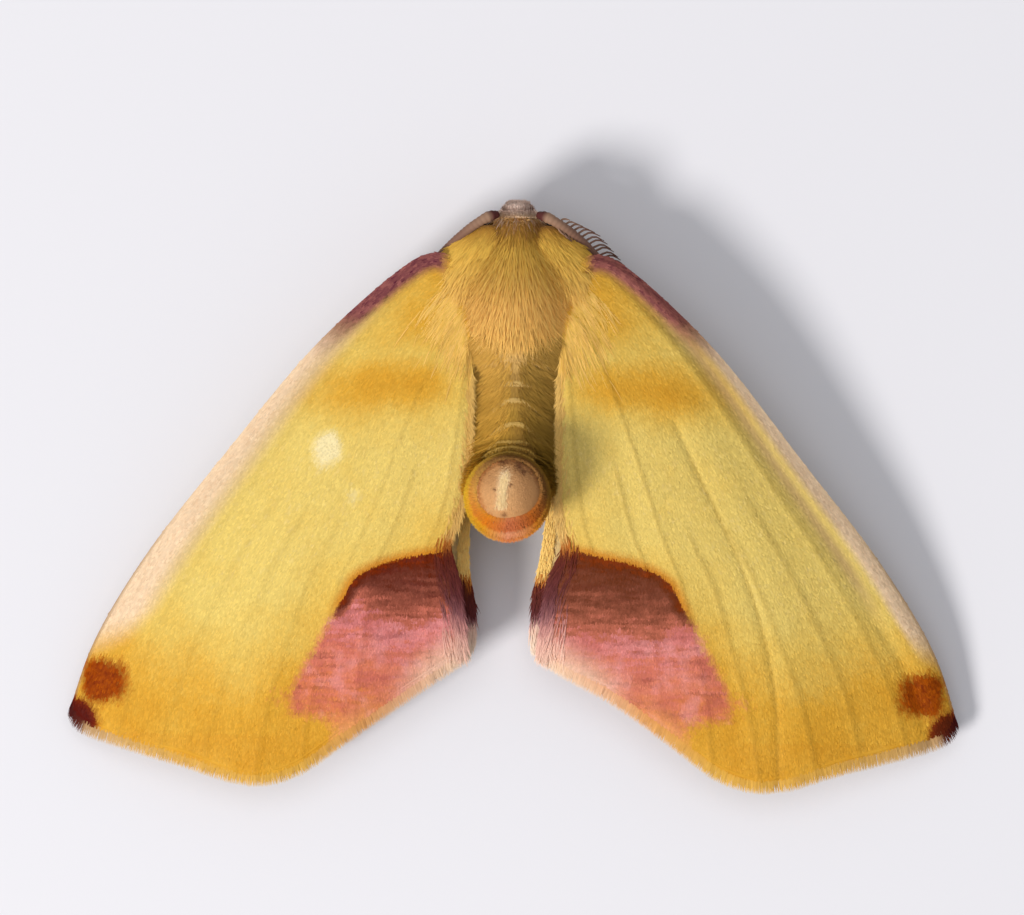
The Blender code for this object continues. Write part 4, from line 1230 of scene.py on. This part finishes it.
# A low lobe covers each wing root; its hair fans back over the wing.
LOBE_MIDDLE = (1.22, 5.98)
LOBE_SIZE = (0.58, 1.08)
LOBE_TURN = math.radians(40)


def lobe_place(radius, angle):
    """Points on the right lobe: radius from 0 at its middle to 1 at its rim."""
    along, aside = radius * np.cos(angle) * LOBE_SIZE[1], radius * np.sin(angle) * LOBE_SIZE[0]
    x = LOBE_MIDDLE[0] + aside * math.cos(LOBE_TURN) - along * math.sin(LOBE_TURN)
    y = LOBE_MIDDLE[1] + aside * math.sin(LOBE_TURN) + along * math.cos(LOBE_TURN)
    z = 2.52 + 0.34 * np.sqrt(np.clip(1 - radius ** 2, 0, 1)) - 0.30 * (x - 1.2) - 0.12 * (y - 5.9)
    return np.stack([x, y, z], axis=-1)


def lobe_share(place):
    """The body share whose colours a point out on the lobe takes."""
    return (7.3 - place[..., 1]) / 9.8


def lobe_uv(points):
    return np.clip(0.5 + points[:, :2] * 0.05, 0, 1)


for side, label in SIDES.items():
    rows, columns = 24, 48
    radius, angle = np.broadcast_arrays(np.linspace(0.04, 1.0, rows)[:, None],
                                        np.linspace(0, 2 * math.pi, columns, endpoint=False)[None, :])
    dome = lobe_place(radius, angle)
    floor_net = dome[::-1] - (0, 0, 0.30)
    points = np.vstack([dome.reshape(-1, 3), floor_net.reshape(-1, 3)])
    ring = np.arange(columns)
    centre_ring = np.stack([np.zeros(columns - 2, int), ring[1:-1], ring[2:]], 1)
    triangles = np.vstack([grid_triangles(2 * rows, columns, closed=True), centre_ring,
                           centre_ring[:, ::-1] + (2 * rows - 1) * columns])
    marked = mirrored(points, side)
    put_piece(f"wing_root_lobe_{label}", points, triangles,
              body_material(f"wing_root_lobe_{label}", 0.6, 0.5, darker=True), ["thorax"],
              lobe_uv(marked), body_marks(lobe_share(marked), marked, 0.5), side)
    number = 13000
    radius = np.sqrt(coat_maker.random(number)) * 1.06
    angle = coat_maker.uniform(0, 2 * math.pi, number)
    roots = lobe_place(np.minimum(radius, 1.0), angle)
    normal = unit(np.stack([(roots[:, 0] - LOBE_MIDDLE[0]) * 0.5 + 0.2, (roots[:, 1] - LOBE_MIDDLE[1]) * 0.3,
                            np.ones(number)], 1))
    fan = np.interp(roots[:, 0], [0.6, 1.2, 1.9], [0.12, 0.34, 0.52])
    fan = fan + np.interp(roots[:, 1], [5.8, 6.6], [0.0, 0.35])
    ways = unit(np.stack([fan, -np.ones(number), np.interp(roots[:, 1], [4.8, 6.4], [-0.20, 0.0])], 1)
                + coat_maker.normal(0, 0.10, (number, 3)))
    longs = np.interp(roots[:, 1], [4.9, 5.6, 6.6], [0.80, 0.85, 0.60])
    longs = longs * coat_maker.uniform(0.55, 1.15, number)
    coat = ribbons(roots, ways, normal, longs, coat_maker.uniform(0.016, 0.030, number),
                   coat_maker.uniform(0.0, 0.08, number), coat_maker.normal(0.03, 0.05, number))
    marked = mirrored(roots, side)
    put_coat(f"wing_root_hair_{label}", side, coat, lobe_uv(marked),
             body_marks(lobe_share(marked), marked, coat_maker.random(number)), fur_paint,
             ["thorax"])

# Hair from the shoulders bridges the valleys between the thorax and the wing bases.
number = 12000
a, _ = body_seats(number, 0.08, 0.41, coat_maker)
turned = coat_maker.uniform(0.05, 0.17, number)
hand = np.where(coat_maker.random(number) < 0.5, 1, -1)
read = read_nets(body_nets, a, (hand * turned) % 1.0)
aside = np.stack([hand, np.zeros(number), np.interp(turned, [0.05, 0.11, 0.17], [-0.60, -0.56, -0.14])], 1)
ways = unit(read["way"] * 0.85 + aside * 0.72 + read["normal"] * 0.10
            + coat_maker.normal(0, 0.09, (number, 3)))
longs = np.interp(read["place"][:, 1], [3.4, 4.2, 6.0, 6.6], [0.40, 0.95, 0.90, 0.45])
coat = ribbons(read["place"], ways, read["normal"], longs * coat_maker.uniform(0.6, 1.15, number),
               *drawn(coat_maker, number, (0.014, 0.026), (0.0, 0.05), 0.05))
put_body_strands("shoulder_hair", read, coat)

# Longer loose hair lies over the first part of each wing itself.
for side, label in SIDES.items():
    number = 10500
    a = 0.02 + 0.26 * coat_maker.random(number) ** 1.4
    b = 1 - 0.72 * coat_maker.random(number) ** 1.4
    read = read_nets(fore_tops[side], a, b)
    x, y = read["place"][:, 0], read["place"][:, 1]
    keep = x < 2.0 + coat_maker.normal(0, 0.35, number)
    keep &= y > 4.1 + 0.4 * (x - 1.3) + coat_maker.normal(0, 0.5, number)
    a, b = a[keep], b[keep]
    read = {key: value[keep] for key, value in read.items()}
    number = len(a)
    back = np.stack([0.25 * read["place"][:, 0] - 0.3 * ease(0.85, 1.0, b), -np.ones(number),
                     np.full(number, -0.04)], 1)
    ways = unit(read["way"] * 0.5 + back * 0.9 + coat_maker.normal(0, 0.10, (number, 3)) * (1, 1, 0.3))
    coat = ribbons(read["place"], ways, read["normal"], coat_maker.uniform(0.35, 0.85, number),
                   *drawn(coat_maker, number, (0.014, 0.026), (0.0, 0.05), 0.05))
    share = 0.11 + 0.10 * coat_maker.random(number)
    put_coat(f"wing_base_hair_{label}", side, coat, skin_uv(a, b),
             body_marks(share, mirrored(read["place"], side), coat_maker.random(number)), fur_paint,
             [f"forewing_{label}"])

# The brush of the face stands forward between the antennae, lilac-grey with a cream base.
brush_paint = strand_material("face_brush_hair",
                              [(0.0, 222, 192, 174), (0.5, 236, 206, 178), (1.0, 246, 212, 166)],
                              [(0.0, 240, 218, 204), (0.5, 246, 224, 202), (1.0, 250, 226, 186)])
number = 4000
a = np.interp(coat_maker.uniform(0.0, 0.034, number), body_share, np.linspace(0, 1, BODY_ROWS))
b = (coat_maker.uniform(-0.24, 0.24, number) * np.interp(a * BODY_ROWS, [0, 3, 9], [1.0, 0.8, 0.55])) % 1.0
read = read_nets(body_nets, a, b)
forth = 0.9 - 0.9 * (read["place"][:, 1] < 7.18)
ways = unit(np.stack([read["place"][:, 0] * 0.10, forth, 0.30 + 0.3 * coat_maker.random(number)], 1)
            + read["normal"] * (0.10, 0.45, 0.45) + coat_maker.normal(0, 0.08, (number, 3)))
longs = np.interp(read["place"][:, 1], [7.0, 7.2, 7.4], [0.16, 0.24, 0.20])
coat = ribbons(read["place"], ways, read["normal"], longs * coat_maker.uniform(0.8, 1.05, number),
               *drawn(coat_maker, number, (0.012, 0.022), (0.0, 0.03), 0.02))
put_strands("face_brush_hair", 1, coat, read["uv"], np.interp(read["place"][:, 1], [7.02, 7.16], [1.0, 0.0]),
            coat_maker, brush_paint, ["head"])
number = 4200
read = read_nets(body_nets, *body_seats(number, 0.0, 0.075, coat_maker))
fall = np.stack([0.3 * read["place"][:, 0], np.zeros(number), -np.ones(number)], 1)
fall -= read["normal"] * (fall * read["normal"]).sum(axis=1, keepdims=True)
ways = unit(fall + read["way"] * 0.45 + read["normal"] * 0.10 + coat_maker.normal(0, 0.08, (number, 3)))
coat = ribbons(read["place"], ways, read["normal"], coat_maker.uniform(0.09, 0.17, number),
               *drawn(coat_maker, number, (0.020, 0.036), (0.0, 0.02), 0.015))
front_paint = strand_material("face_front_hair",
                              [(0.0, 196, 168, 148), (0.5, 176, 132, 84), (1.0, 190, 140, 70)],
                              [(0.0, 222, 200, 182), (0.5, 206, 166, 112), (1.0, 214, 168, 92)])
where = np.interp(read["place"][:, 1], [6.7, 7.0, 7.25], [1.0, 0.6, 0.0])
put_strands("face_front_hair", 1, coat, read["uv"], where, coat_maker, front_paint, ["head"])


# Coat of the abdomen
# Short flat scales shingle the abdomen, with a paler comb of hairs along the rear of each ring
# and a smooth, nearly bare end that faces up.
number = 20000
a, b = body_seats(number, 0.38, 0.97, coat_maker)
read = read_nets(body_nets, a, b)
turned = coat_maker.normal(0, 0.15, number)[:, None]
across = np.cross(read["normal"], read["way"])
ways = unit(read["way"] * np.cos(turned) + across * np.sin(turned))
smaller = np.interp(a, [0.9, 0.97], [1.0, 0.5])
slimmer = np.interp(a, [0.9, 0.97], [1.0, 0.6])
coat = shingle(read["place"] + read["normal"] * 0.004, ways, read["normal"],
               smaller * coat_maker.uniform(0.10, 0.16, number),
               slimmer * coat_maker.uniform(0.040, 0.060, number),
               coat_maker.uniform(0.004, 0.018, number), coat_maker.normal(0, 0.008, number))
put_body_coat("abdomen_scales", read, coat, read["share"][:, 0])

ring_paint = strand_material("ring_edge_hair",
                             [(0.0, 200, 160, 100), (0.50, 206, 166, 92), (0.62, 196, 154, 72),
                              (0.8, 190, 148, 60), (1.0, 206, 142, 44)],
                             [(0.0, 220, 188, 132), (0.50, 222, 186, 114), (0.62, 214, 176, 96),
                              (0.8, 206, 164, 76), (1.0, 226, 168, 76)])
rows = []
for order, (spot, sweep) in enumerate(ring_places):
    number = 1700
    broad, offset = (1.5, 0.018) if order < 2 else (1.0, 0.05)
    b = np.concatenate([coat_maker.uniform(-0.30 / broad, 0.04 * broad, 1150),
                        coat_maker.uniform(0.04, 0.30 / broad, 250),
                        coat_maker.uniform(0.30, 0.70, 300)]) % 1.0
    runs = spot + swept_back(b * 2 * math.pi, sweep) - coat_maker.uniform(0.0, 0.05, number)
    read = read_nets(body_nets, np.interp(runs, travelled, row_shares), b)
    ways = unit(read["way"] + read["normal"] * 0.03 + coat_maker.normal(0, 0.05, (number, 3)))
    rows.append((read["place"] + read["normal"] * offset, ways, read["normal"],
                 broad * coat_maker.uniform(0.04, 0.10, number),
                 *drawn(coat_maker, number, (broad * 0.007, broad * 0.011), (0.0, 0.010), 0.010),
                 read["uv"], read["share"][:, 0]))
put_rows("ring_edge_hair", 1, rows, coat_maker, ring_paint, FLESH)

# Softer golden hair stands out from the flanks and lies over the rear edges of the wings, darker on
# the right: partly its own duller colour, partly painted shade of the side away from the light. Its colour
# runs from front to rear: 0 to 0.5 on the left, 0.5 to 1 on the right.
flank_paint = strand_material("flank_hair",
                              [(0.0, 196, 150, 74), (0.30, 182, 136, 54), (0.49, 186, 134, 36),
                               (0.51, 166, 126, 58), (0.80, 136, 100, 36), (1.0, 130, 94, 30)],
                              [(0.0, 222, 172, 80), (0.30, 220, 168, 66), (0.49, 230, 176, 54),
                               (0.51, 190, 148, 70), (0.80, 162, 124, 48), (1.0, 156, 118, 40)])
number = 16500
a, _ = body_seats(number, 0.33, 0.80, coat_maker)
share = np.interp(a, row_shares, body_share)
turned = 0.01 + 0.17 * coat_maker.random(number) ** 0.7 + 0.09 * ease(0.55, 0.70, share)
hand = np.where(coat_maker.random(number) < 0.5, 1, -1)
read = read_nets(body_nets, a, (hand * turned) % 1.0)
level = np.interp(turned, [0.05, 0.11, 0.18], [-0.06, 0.05, 0.45]) * ease(0.70, 0.60, share)
aside = np.stack([hand, np.zeros(number), level], 1)
outward = np.interp(turned, [0.01, 0.11, 0.18], [0.30, 0.90, 1.05])[:, None]
ways = unit(read["way"] * 0.65 + aside * outward + read["normal"] * 0.05
            + coat_maker.normal(0, 0.09, (number, 3)))
longs = np.interp(turned, [0.01, 0.11, 0.18], [0.22, 0.64, 0.66]) * coat_maker.uniform(0.65, 1.1, number)
longs = longs * np.interp(share, [0.60, 0.73, 0.80], [1.0, 0.62, 0.30])
coat = ribbons(read["place"], ways, read["normal"], longs,
               *drawn(coat_maker, number, (0.014, 0.026), (0.0, 0.04), 0.03))
where = np.interp(share, [0.33, 0.80], [0.0, 0.49]) + 0.51 * (hand > 0)
put_strands("flank_hair", 1, coat, read["uv"], where, coat_maker, flank_paint, FLESH)

# Three collars of hair-scales ring the raised end, leaning out one behind another. Their colour
# changes round the ring: 0 and 1 towards the head, 0.5 to the rear. Besides the orange rim and the
# pinkish rear, the paint is brighter on the left, lit through from the light, and darker on the right:
# painted light and shade. Each collar has the heights it starts between, how far it leans out, its
# length and its colours.
COLLARS = [
    ("outer", (3.90, 4.15), 1.60, 0.18,
     [(0.0, 160, 122, 50), (0.25, 168, 128, 48), (0.38, 226, 160, 56), (0.50, 244, 164, 104),
      (0.62, 255, 206, 70), (0.75, 255, 214, 66), (0.90, 200, 160, 60), (1.0, 160, 122, 50)]),
    ("middle", (4.16, 4.40), 2.20, 0.15,
     [(0.0, 146, 108, 48), (0.25, 156, 116, 48), (0.38, 220, 142, 46), (0.50, 246, 176, 132),
      (0.60, 255, 188, 48), (0.75, 255, 202, 64), (0.90, 186, 142, 58), (1.0, 146, 108, 48)]),
    ("inner", (4.42, 4.61), 2.20, 0.13,
     [(0.0, 132, 92, 48), (0.25, 138, 94, 46), (0.38, 190, 104, 36), (0.50, 222, 132, 84),
      (0.60, 250, 158, 44), (0.75, 236, 178, 84), (0.90, 166, 120, 66), (1.0, 132, 92, 48)])]
for label, (lowest, highest), lean_out, long, stops in COLLARS:
    number = 4600
    collar_paint = strand_material(f"tip_collar_{label}", stops, stops, gains=(0.90, 1.12))
    b = coat_maker.random(number)
    heights = highest - (highest - lowest) * 1.4 * coat_maker.random(number) ** 1.7
    if label == "inner":
        heights += 0.10 * np.exp(-((b - 0.47) / 0.15) ** 2)
    read = read_nets(body_nets, np.interp(heights, spine[:, 1], row_shares), b)
    out_way = unit(read["place"] * (1, 1, 0) - (TIP_LEAN, 0.03, 0.0))
    ways = unit((0, 0, 1) + out_way * lean_out + coat_maker.normal(0, 0.13, (number, 3)))
    longs = long * np.interp(b, [0, 0.25, 0.5, 0.75, 1], [0.85, 0.75, 1.15, 0.95, 0.85])
    coat = ribbons(read["place"], ways, out_way, longs * coat_maker.uniform(0.55, 1.12, number),
                   *drawn(coat_maker, number, (0.014, 0.026), (-0.01, 0.01), 0.015))
    put_strands(f"tip_collar_{label}", 1, coat, read["uv"], b, coat_maker, collar_paint,
                ["abdomen_tip"])

# Fine scales cover the face of the tip, with a pale pencil of hair down its middle.
number = 4200
radius = 0.74 * np.sqrt(coat_maker.random(number))
angle = coat_maker.uniform(0, 2 * math.pi, number)


def tip_face(x, y):
    """Places on the domed end over plan points."""
    reach = np.hypot(x - TIP_LEAN, y - TIP_FRONT)
    height = np.interp(reach, [0, 0.17, 0.38, 0.56, 0.70, 0.78], [4.846, 4.84, 4.81, 4.76, 4.69, 4.62])
    return np.stack([x, y, height + 0.002], axis=-1)


roots = tip_face(TIP_LEAN + radius * np.cos(angle), TIP_FRONT + radius * np.sin(angle))
slope = np.interp(radius, [0, 0.4, 0.74], [0.0, 0.2, 0.9])
normal = unit(np.stack([np.cos(angle) * slope, np.sin(angle) * slope, np.ones(number)], 1))
ways = np.stack([np.cos(angle) * 0.5, np.sin(angle) * 0.5 - 0.6, -slope * 0.5], 1)
ways = unit(ways + coat_maker.normal(0, 0.15, (number, 3)))
ways = unit(ways - normal * (ways * normal).sum(axis=1, keepdims=True))
coat = shingle(roots, ways, normal, coat_maker.uniform(0.05, 0.08, number),
               *drawn(coat_maker, number, (0.024, 0.036), (0.002, 0.010), 0.005))
share = np.interp(radius, [0, 0.6, 0.74], [1.0, 0.97, 0.935])
put_coat("tip_face_scales", 1, coat, np.stack([0.97 + 0.02 * roots[:, 1], 0.5 + 0.02 * roots[:, 0]], 1),
         body_marks(share, roots, coat_maker.random(number), tip=tip_fields(roots)), fur_paint,
         ["abdomen_tip"])
number = 420
y = coat_maker.uniform(-0.24, 0.62, number)
x = TIP_LEAN - 0.15 + 0.12 * y + coat_maker.normal(0, 0.055, number)
ways = unit(np.stack([coat_maker.normal(-0.1, 0.15, number), -np.ones(number),
                      coat_maker.uniform(0.05, 0.3, number)], 1))
coat = ribbons(tip_face(x, y), ways, np.tile((0.0, 0.0, 1.0), (number, 1)),
               coat_maker.uniform(0.10, 0.20, number),
               *drawn(coat_maker, number, (0.010, 0.018), (0.0, 0.02), 0.02))
pencil_paint = strand_material("tip_pencil_hair", [(0.0, 240, 202, 142), (1.0, 240, 202, 142)],
                               [(0.0, 255, 226, 168), (1.0, 255, 226, 168)])
put_strands("tip_pencil_hair", 1, coat, np.stack([0.97 + 0.02 * y, 0.5 + 0.02 * x], 1), np.full(number, 0.5),
            coat_maker, pencil_paint, ["abdomen_tip"])


# Eyes
# Dark domes of thin horny skin on the sides of the head, seated in it below the antennae. Each
# facet is a tiny lens, shown as fine even relief.
EYE_MIDDLE = (0.60, 6.78, 1.97)
EYE_SIZE = (0.50, 0.40, 0.43)
FACETS_PER_MM = 34.0
FACET_DEPTH = 0.00001
eye_paint = plain_material("compound_eye", tone(46, 32, 26), 0.30)
tree = eye_paint.node_tree
shader = tree.nodes["Principled BSDF"]
shader.inputs["Specular IOR Level"].default_value = 0.30
facets = tree.nodes.new("ShaderNodeTexVoronoi")
facets.inputs["Scale"].default_value = FACETS_PER_MM
tree.links.new(field(tree, "root_place"), facets.inputs["Vector"])
relief = tree.nodes.new("ShaderNodeBump")
relief.invert = True
relief.inputs["Strength"].default_value = 0.6
relief.inputs["Distance"].default_value = FACET_DEPTH
tree.links.new(facets.outputs["Distance"], relief.inputs["Height"])
tree.links.new(relief.outputs["Normal"], shader.inputs["Normal"])
dusky = ramp(tree, facets.outputs["Distance"], [(0.0, 54, 38, 28), (0.6, 18, 12, 10)])
tree.links.new(dusky, shader.inputs["Base Color"])
polar, turn = np.broadcast_arrays(np.linspace(0.02, math.pi - 0.02, 28)[:, None],
                                  np.linspace(0, 2 * math.pi, 40, endpoint=False)[None, :])
net = np.dstack([np.cos(polar), np.sin(polar) * np.cos(turn), np.sin(polar) * np.sin(turn)])
net = net * EYE_SIZE + EYE_MIDDLE
pole = np.array([EYE_SIZE[0], 0, 0])
points, triangles = capped(net, EYE_MIDDLE + pole, EYE_MIDDLE - pole)
uv = np.vstack([np.dstack([turn / 6.4, polar / 3.3]).reshape(-1, 2), (0.5, 0.99), (0.5, 0.97)])
for side, label in SIDES.items():
    put_piece(f"compound_eye_{label}", points, triangles, eye_paint, [f"eye_{label}"], uv,
              {"root_place": points}, side)


# Antennae
# Each rises from a dark wine knob beside the brush, sweeps back under the wing's front edge
# and carries a comb of fine pale-tipped teeth along both sides.
ANTENNA_LINE = [(0.50, 7.16, 2.66), (0.74, 7.09, 2.76), (1.10, 6.89, 2.72), (1.62, 6.52, 2.42),
                (2.14, 6.02, 2.00), (2.72, 5.36, 1.60), (3.4, 4.55, 1.38), (4.0, 3.7, 1.28)]
LEFT_TUCK = 0.06
COMB_DROOP = {1: 8, -1: 80}
TOOTH_PITCH = 0.145
TOOTH_LENGTH = 0.66


def tube_net(line, radii, sides):
    """Rings of points round a line, with a frame that does not twist."""
    line = np.asarray(line, float)
    ways = unit(np.gradient(line, axis=0))
    across = np.cross(ways[0], (0.0, 0.0, 1.0))
    rings = []
    angles = np.linspace(0, 2 * math.pi, sides, endpoint=False)
    for spot, way, radius in zip(line, ways, radii):
        across = unit(across - way * across.dot(way))
        up = np.cross(across, way)
        rings.append(spot + radius * (np.outer(np.cos(angles), across) + np.outer(np.sin(angles), up)))
    return np.array(rings), ways


def joined_tubes(tubes):
    """Points and triangles of several tubes in one mesh, with both ends of each closed by a point."""
    all_points, all_triangles, offset = [], [], 0
    for net in tubes:
        points, triangles = capped(net, net[0].mean(axis=0), net[-1].mean(axis=0))
        all_points.append(points)
        all_triangles.append(triangles + offset)
        offset += len(points)
    return np.vstack(all_points), np.vstack(all_triangles)


def ring_values(values, sides):
    """A tube's values along its line, for its ring points and its two end points."""
    return np.append(np.repeat(values, sides), (values[0], values[-1]))


def antenna_line(side):
    line = []
    for x, y, z in ANTENNA_LINE:
        share = np.clip((x - 0.9) / 0.8, 0, 1) * np.clip((3.6 - x) / 1.0, 0, 1)
        tuck = LEFT_TUCK * share if side < 0 else 0.0
        line.append((x - tuck * 0.7, y - tuck * 0.7, z))
    return line


comb_paint = strand_material("antenna_comb",
                             [(0.0, 74, 34, 32), (0.035, 80, 40, 38), (0.055, 146, 112, 90),
                              (0.20, 138, 104, 84), (0.5, 124, 90, 76), (1.0, 106, 72, 58)],
                             [(0.0, 96, 52, 48), (0.035, 100, 60, 54), (0.055, 170, 138, 114),
                              (0.20, 112, 78, 68), (0.5, 100, 68, 60), (1.0, 96, 66, 56)], 0.5)
antenna_maker = np.random.default_rng(69)
for side, label in SIDES.items():
    line = smooth_line(antenna_line(side), 240)
    shares = np.linspace(0, 1, len(line))
    radii = np.interp(shares, [0, 0.03, 0.06, 0.09, 0.9, 1], [0.08, 0.12, 0.13, 0.115, 0.06, 0.03])
    radii = radii * (1 + 0.10 * np.abs(np.sin(shares * math.pi * 46)))
    net, ways = tube_net(line, radii, 14)
    tubes, along, where = [net], [np.full(net[..., 0].size + 2, 0.35)], [ring_values(shares, 14)]
    length = line_length(line)
    droop = math.radians(COMB_DROOP[side])
    for k in range(int((length * 0.97 - 0.62) / TOOTH_PITCH)):
        share = (0.62 + k * TOOTH_PITCH) / length
        index = int(share * (len(line) - 1))
        way = ways[index]
        out = np.cross((0.0, 0.0, 1.0), way)
        out /= np.linalg.norm(out)
        down = np.cross(out, way)
        size = TOOTH_LENGTH * np.interp(share, [0.1, 0.25, 0.8, 1.0], [0.45, 1.0, 0.95, 0.35])
        for hand in (1, -1):
            inner = (hand < 0) == (side > 0)
            fall = math.radians(-25) if inner and side > 0 else droop
            aim = hand * out * math.cos(fall) + down * math.sin(fall) + antenna_maker.normal(0, 0.03, 3)
            lean_way = way * (0.80 if inner else 0.45) + aim * (0.60 if inner else 0.89)
            lean_way = unit(lean_way)
            start = line[index] + aim * 0.05
            path = smooth_line([start, start + lean_way * size * 0.45,
                                start + lean_way * size * 0.62 + way * size * 0.38], 5)
            tooth, _ = tube_net(path, np.interp(np.linspace(0, 1, 6), [0, 0.6, 1], [0.030, 0.024, 0.010]), 6)
            tubes.append(tooth)
            along.append(ring_values(np.linspace(0.1, 1, 6), 6))
            where.append(np.full(len(along[-1]), share))
    points, triangles = joined_tubes(tubes)
    along, where = np.concatenate(along), np.concatenate(where)
    put_piece(f"antenna_comb_{label}", points, triangles, comb_paint, [f"antenna_{label}"],
              np.stack([0.02 + 0.95 * where, 0.1 + 0.8 * along], 1),
              {"along": along, "where": where, "chance": np.full(len(points), 0.4)}, side)


# Palps
# Two short feelers under the face, turned up at their tips. Each is a thin tube of skin set
# beside the mouth and closely covered with hair-scales.
palp_paint = strand_material("palp_scales", [(0.0, 120, 84, 70), (1.0, 140, 104, 88)],
                             [(0.0, 176, 140, 120), (1.0, 196, 166, 148)])
palp_maker = np.random.default_rng(71)
palp_line = smooth_line([(0.26, 6.70, 1.05), (0.30, 7.00, 0.90), (0.28, 7.22, 1.04), (0.27, 7.34, 1.28)], 40)


def core_fields(number, where):
    return {"along": np.full(number, 0.2), "where": where, "chance": np.full(number, 0.4)}


def tube_read(net, line, a, b, ahead):
    """Roots, outward normals and ways along a tube, at shares a of its length and b of its way round."""
    root = read_nets({"place": wrapped(net)}, a, b)["place"]
    way = unit(at_shares(line, np.clip(a + ahead, 0, 1)) - at_shares(line, np.clip(a - ahead, 0, 1)))
    return root, unit(root - at_shares(line, a)), way


for side, label in SIDES.items():
    shares = np.linspace(0, 1, len(palp_line))
    radii = np.interp(shares, [0, 0.15, 0.75, 0.95, 1], [0.12, 0.17, 0.14, 0.07, 0.03])
    net, _ = tube_net(palp_line, radii, 16)
    points, triangles = joined_tubes([net])
    uv = np.dstack(np.broadcast_arrays(shares[:, None], np.linspace(0, 0.95, 16)[None])).reshape(-1, 2)
    put_piece(f"palp_core_{label}", points, triangles, palp_paint, [f"palp_{label}"],
              np.vstack([uv, (0, 0.5), (1, 0.5)]), core_fields(len(points), ring_values(shares, 16)), side)
    number = 1100
    a, b = palp_maker.random(number), palp_maker.random(number)
    root, normal, way = tube_read(net, palp_line, a, b, 0.02)
    way = unit(way + normal * 0.3 + palp_maker.normal(0, 0.1, (number, 3)))
    coat = ribbons(root, way, normal, palp_maker.uniform(0.09, 0.18, number),
                   *drawn(palp_maker, number, (0.014, 0.026), (0.0, 0.02), 0.02))
    put_strands(f"palp_hair_{label}", side, coat, np.stack([a, b * 0.95], 1), a, palp_maker, palp_paint,
                [f"palp_{label}"])


# Legs
# Six slender legs with scaly thighs, thinner shins with spurs, and jointed feet flat on the ground.
# Each is a tube of horny skin rooted under the thorax, with flat scales laid along it.
LEG_LINES = {
    "fore_leg": [(0.70, 5.70, 1.25), (1.36, 5.98, 0.85), (1.40, 6.32, 0.40), (1.20, 6.62, 0.10),
                 (0.88, 6.90, 0.06)],
    "mid_leg": [(0.80, 5.0, 1.2), (1.75, 5.05, 0.95), (2.30, 4.85, 0.62), (2.75, 4.40, 0.12),
                (3.15, 3.62, 0.06)],
    "hind_leg": [(0.80, 4.1, 1.2), (1.55, 3.0, 0.90), (1.85, 1.8, 0.62), (2.0, 0.4, 0.12),
                 (2.35, -2.95, 0.06)]}
leg_paint = strand_material("leg_scales",
                            [(0.0, 196, 156, 92), (0.6, 186, 142, 86), (1.0, 140, 98, 60)],
                            [(0.0, 226, 194, 134), (0.6, 214, 178, 124), (1.0, 176, 136, 96)])
leg_maker = np.random.default_rng(83)
for side, label in SIDES.items():
    for leg, joints in LEG_LINES.items():
        line = smooth_line(joints, 150)
        shares = np.linspace(0, 1, len(line))
        radii = np.interp(shares, [0, 0.12, 0.33, 0.37, 0.60, 0.64, 1],
                          [0.15, 0.17, 0.12, 0.10, 0.08, 0.065, 0.05])
        radii = radii * (1 - 0.16 * (shares > 0.62) * (np.cos(shares * math.pi * 26) > 0.8))
        net, ways = tube_net(line, radii, 12)
        net[..., 2] = np.maximum(net[..., 2], 0.0)
        tubes, where = [net], [ring_values(shares, 12)]
        for share in ([0.60, 0.48] if leg == "hind_leg" else [0.60]):
            index = int(share * (len(line) - 1))
            for hand in (0.5, -0.5):
                aim = ways[index] + np.cross(ways[index], (0, 0, 1.0)) * hand * 0.5
                path = np.array([line[index], line[index] + aim * 0.16, line[index] + aim * 0.30])
                spur, _ = tube_net(path, [0.03, 0.025, 0.008], 6)
                spur[..., 2] = np.maximum(spur[..., 2], 0.004)
                tubes.append(spur)
                where.append(np.full(spur[..., 0].size + 2, share))
        points, triangles = joined_tubes(tubes)
        where = np.concatenate(where)
        uv = np.stack([0.02 + 0.96 * where, np.linspace(0.1, 0.9, len(points))], 1)
        put_piece(f"{leg}_core_{label}", points, triangles, leg_paint, [f"{leg}_{label}"], uv,
                  {**core_fields(len(points), where), "along": np.full(len(points), 0.3)}, side)
        number = 700
        a, b = leg_maker.random(number) ** 1.2 * 0.96, leg_maker.random(number)
        root, normal, way = tube_read(net, line, a, b, 0.01)
        keep = (normal[:, 2] > -0.3) | (root[:, 2] > 0.15)
        a, b, root, normal, way = a[keep], b[keep], root[keep], normal[keep], way[keep]
        number = len(a)
        longs = np.interp(a, [0, 0.5, 1], [0.17, 0.13, 0.07]) * leg_maker.uniform(0.8, 1.2, number)
        way = unit(way + normal * 0.15 + leg_maker.normal(0, 0.06, (number, 3)))
        coat = ribbons(root, way, normal, longs, leg_maker.uniform(0.03, 0.05, number), np.zeros(number),
                       leg_maker.normal(0, 0.01, number))
        coat[0][:, 2] = np.maximum(coat[0][:, 2], 0.002)
        uv = np.stack([0.02 + 0.96 * a, b * 0.95], 1)
        put_strands(f"{leg}_scales_{label}", side, coat, uv, a, leg_maker, leg_paint,
                    [f"{leg}_{label}"])
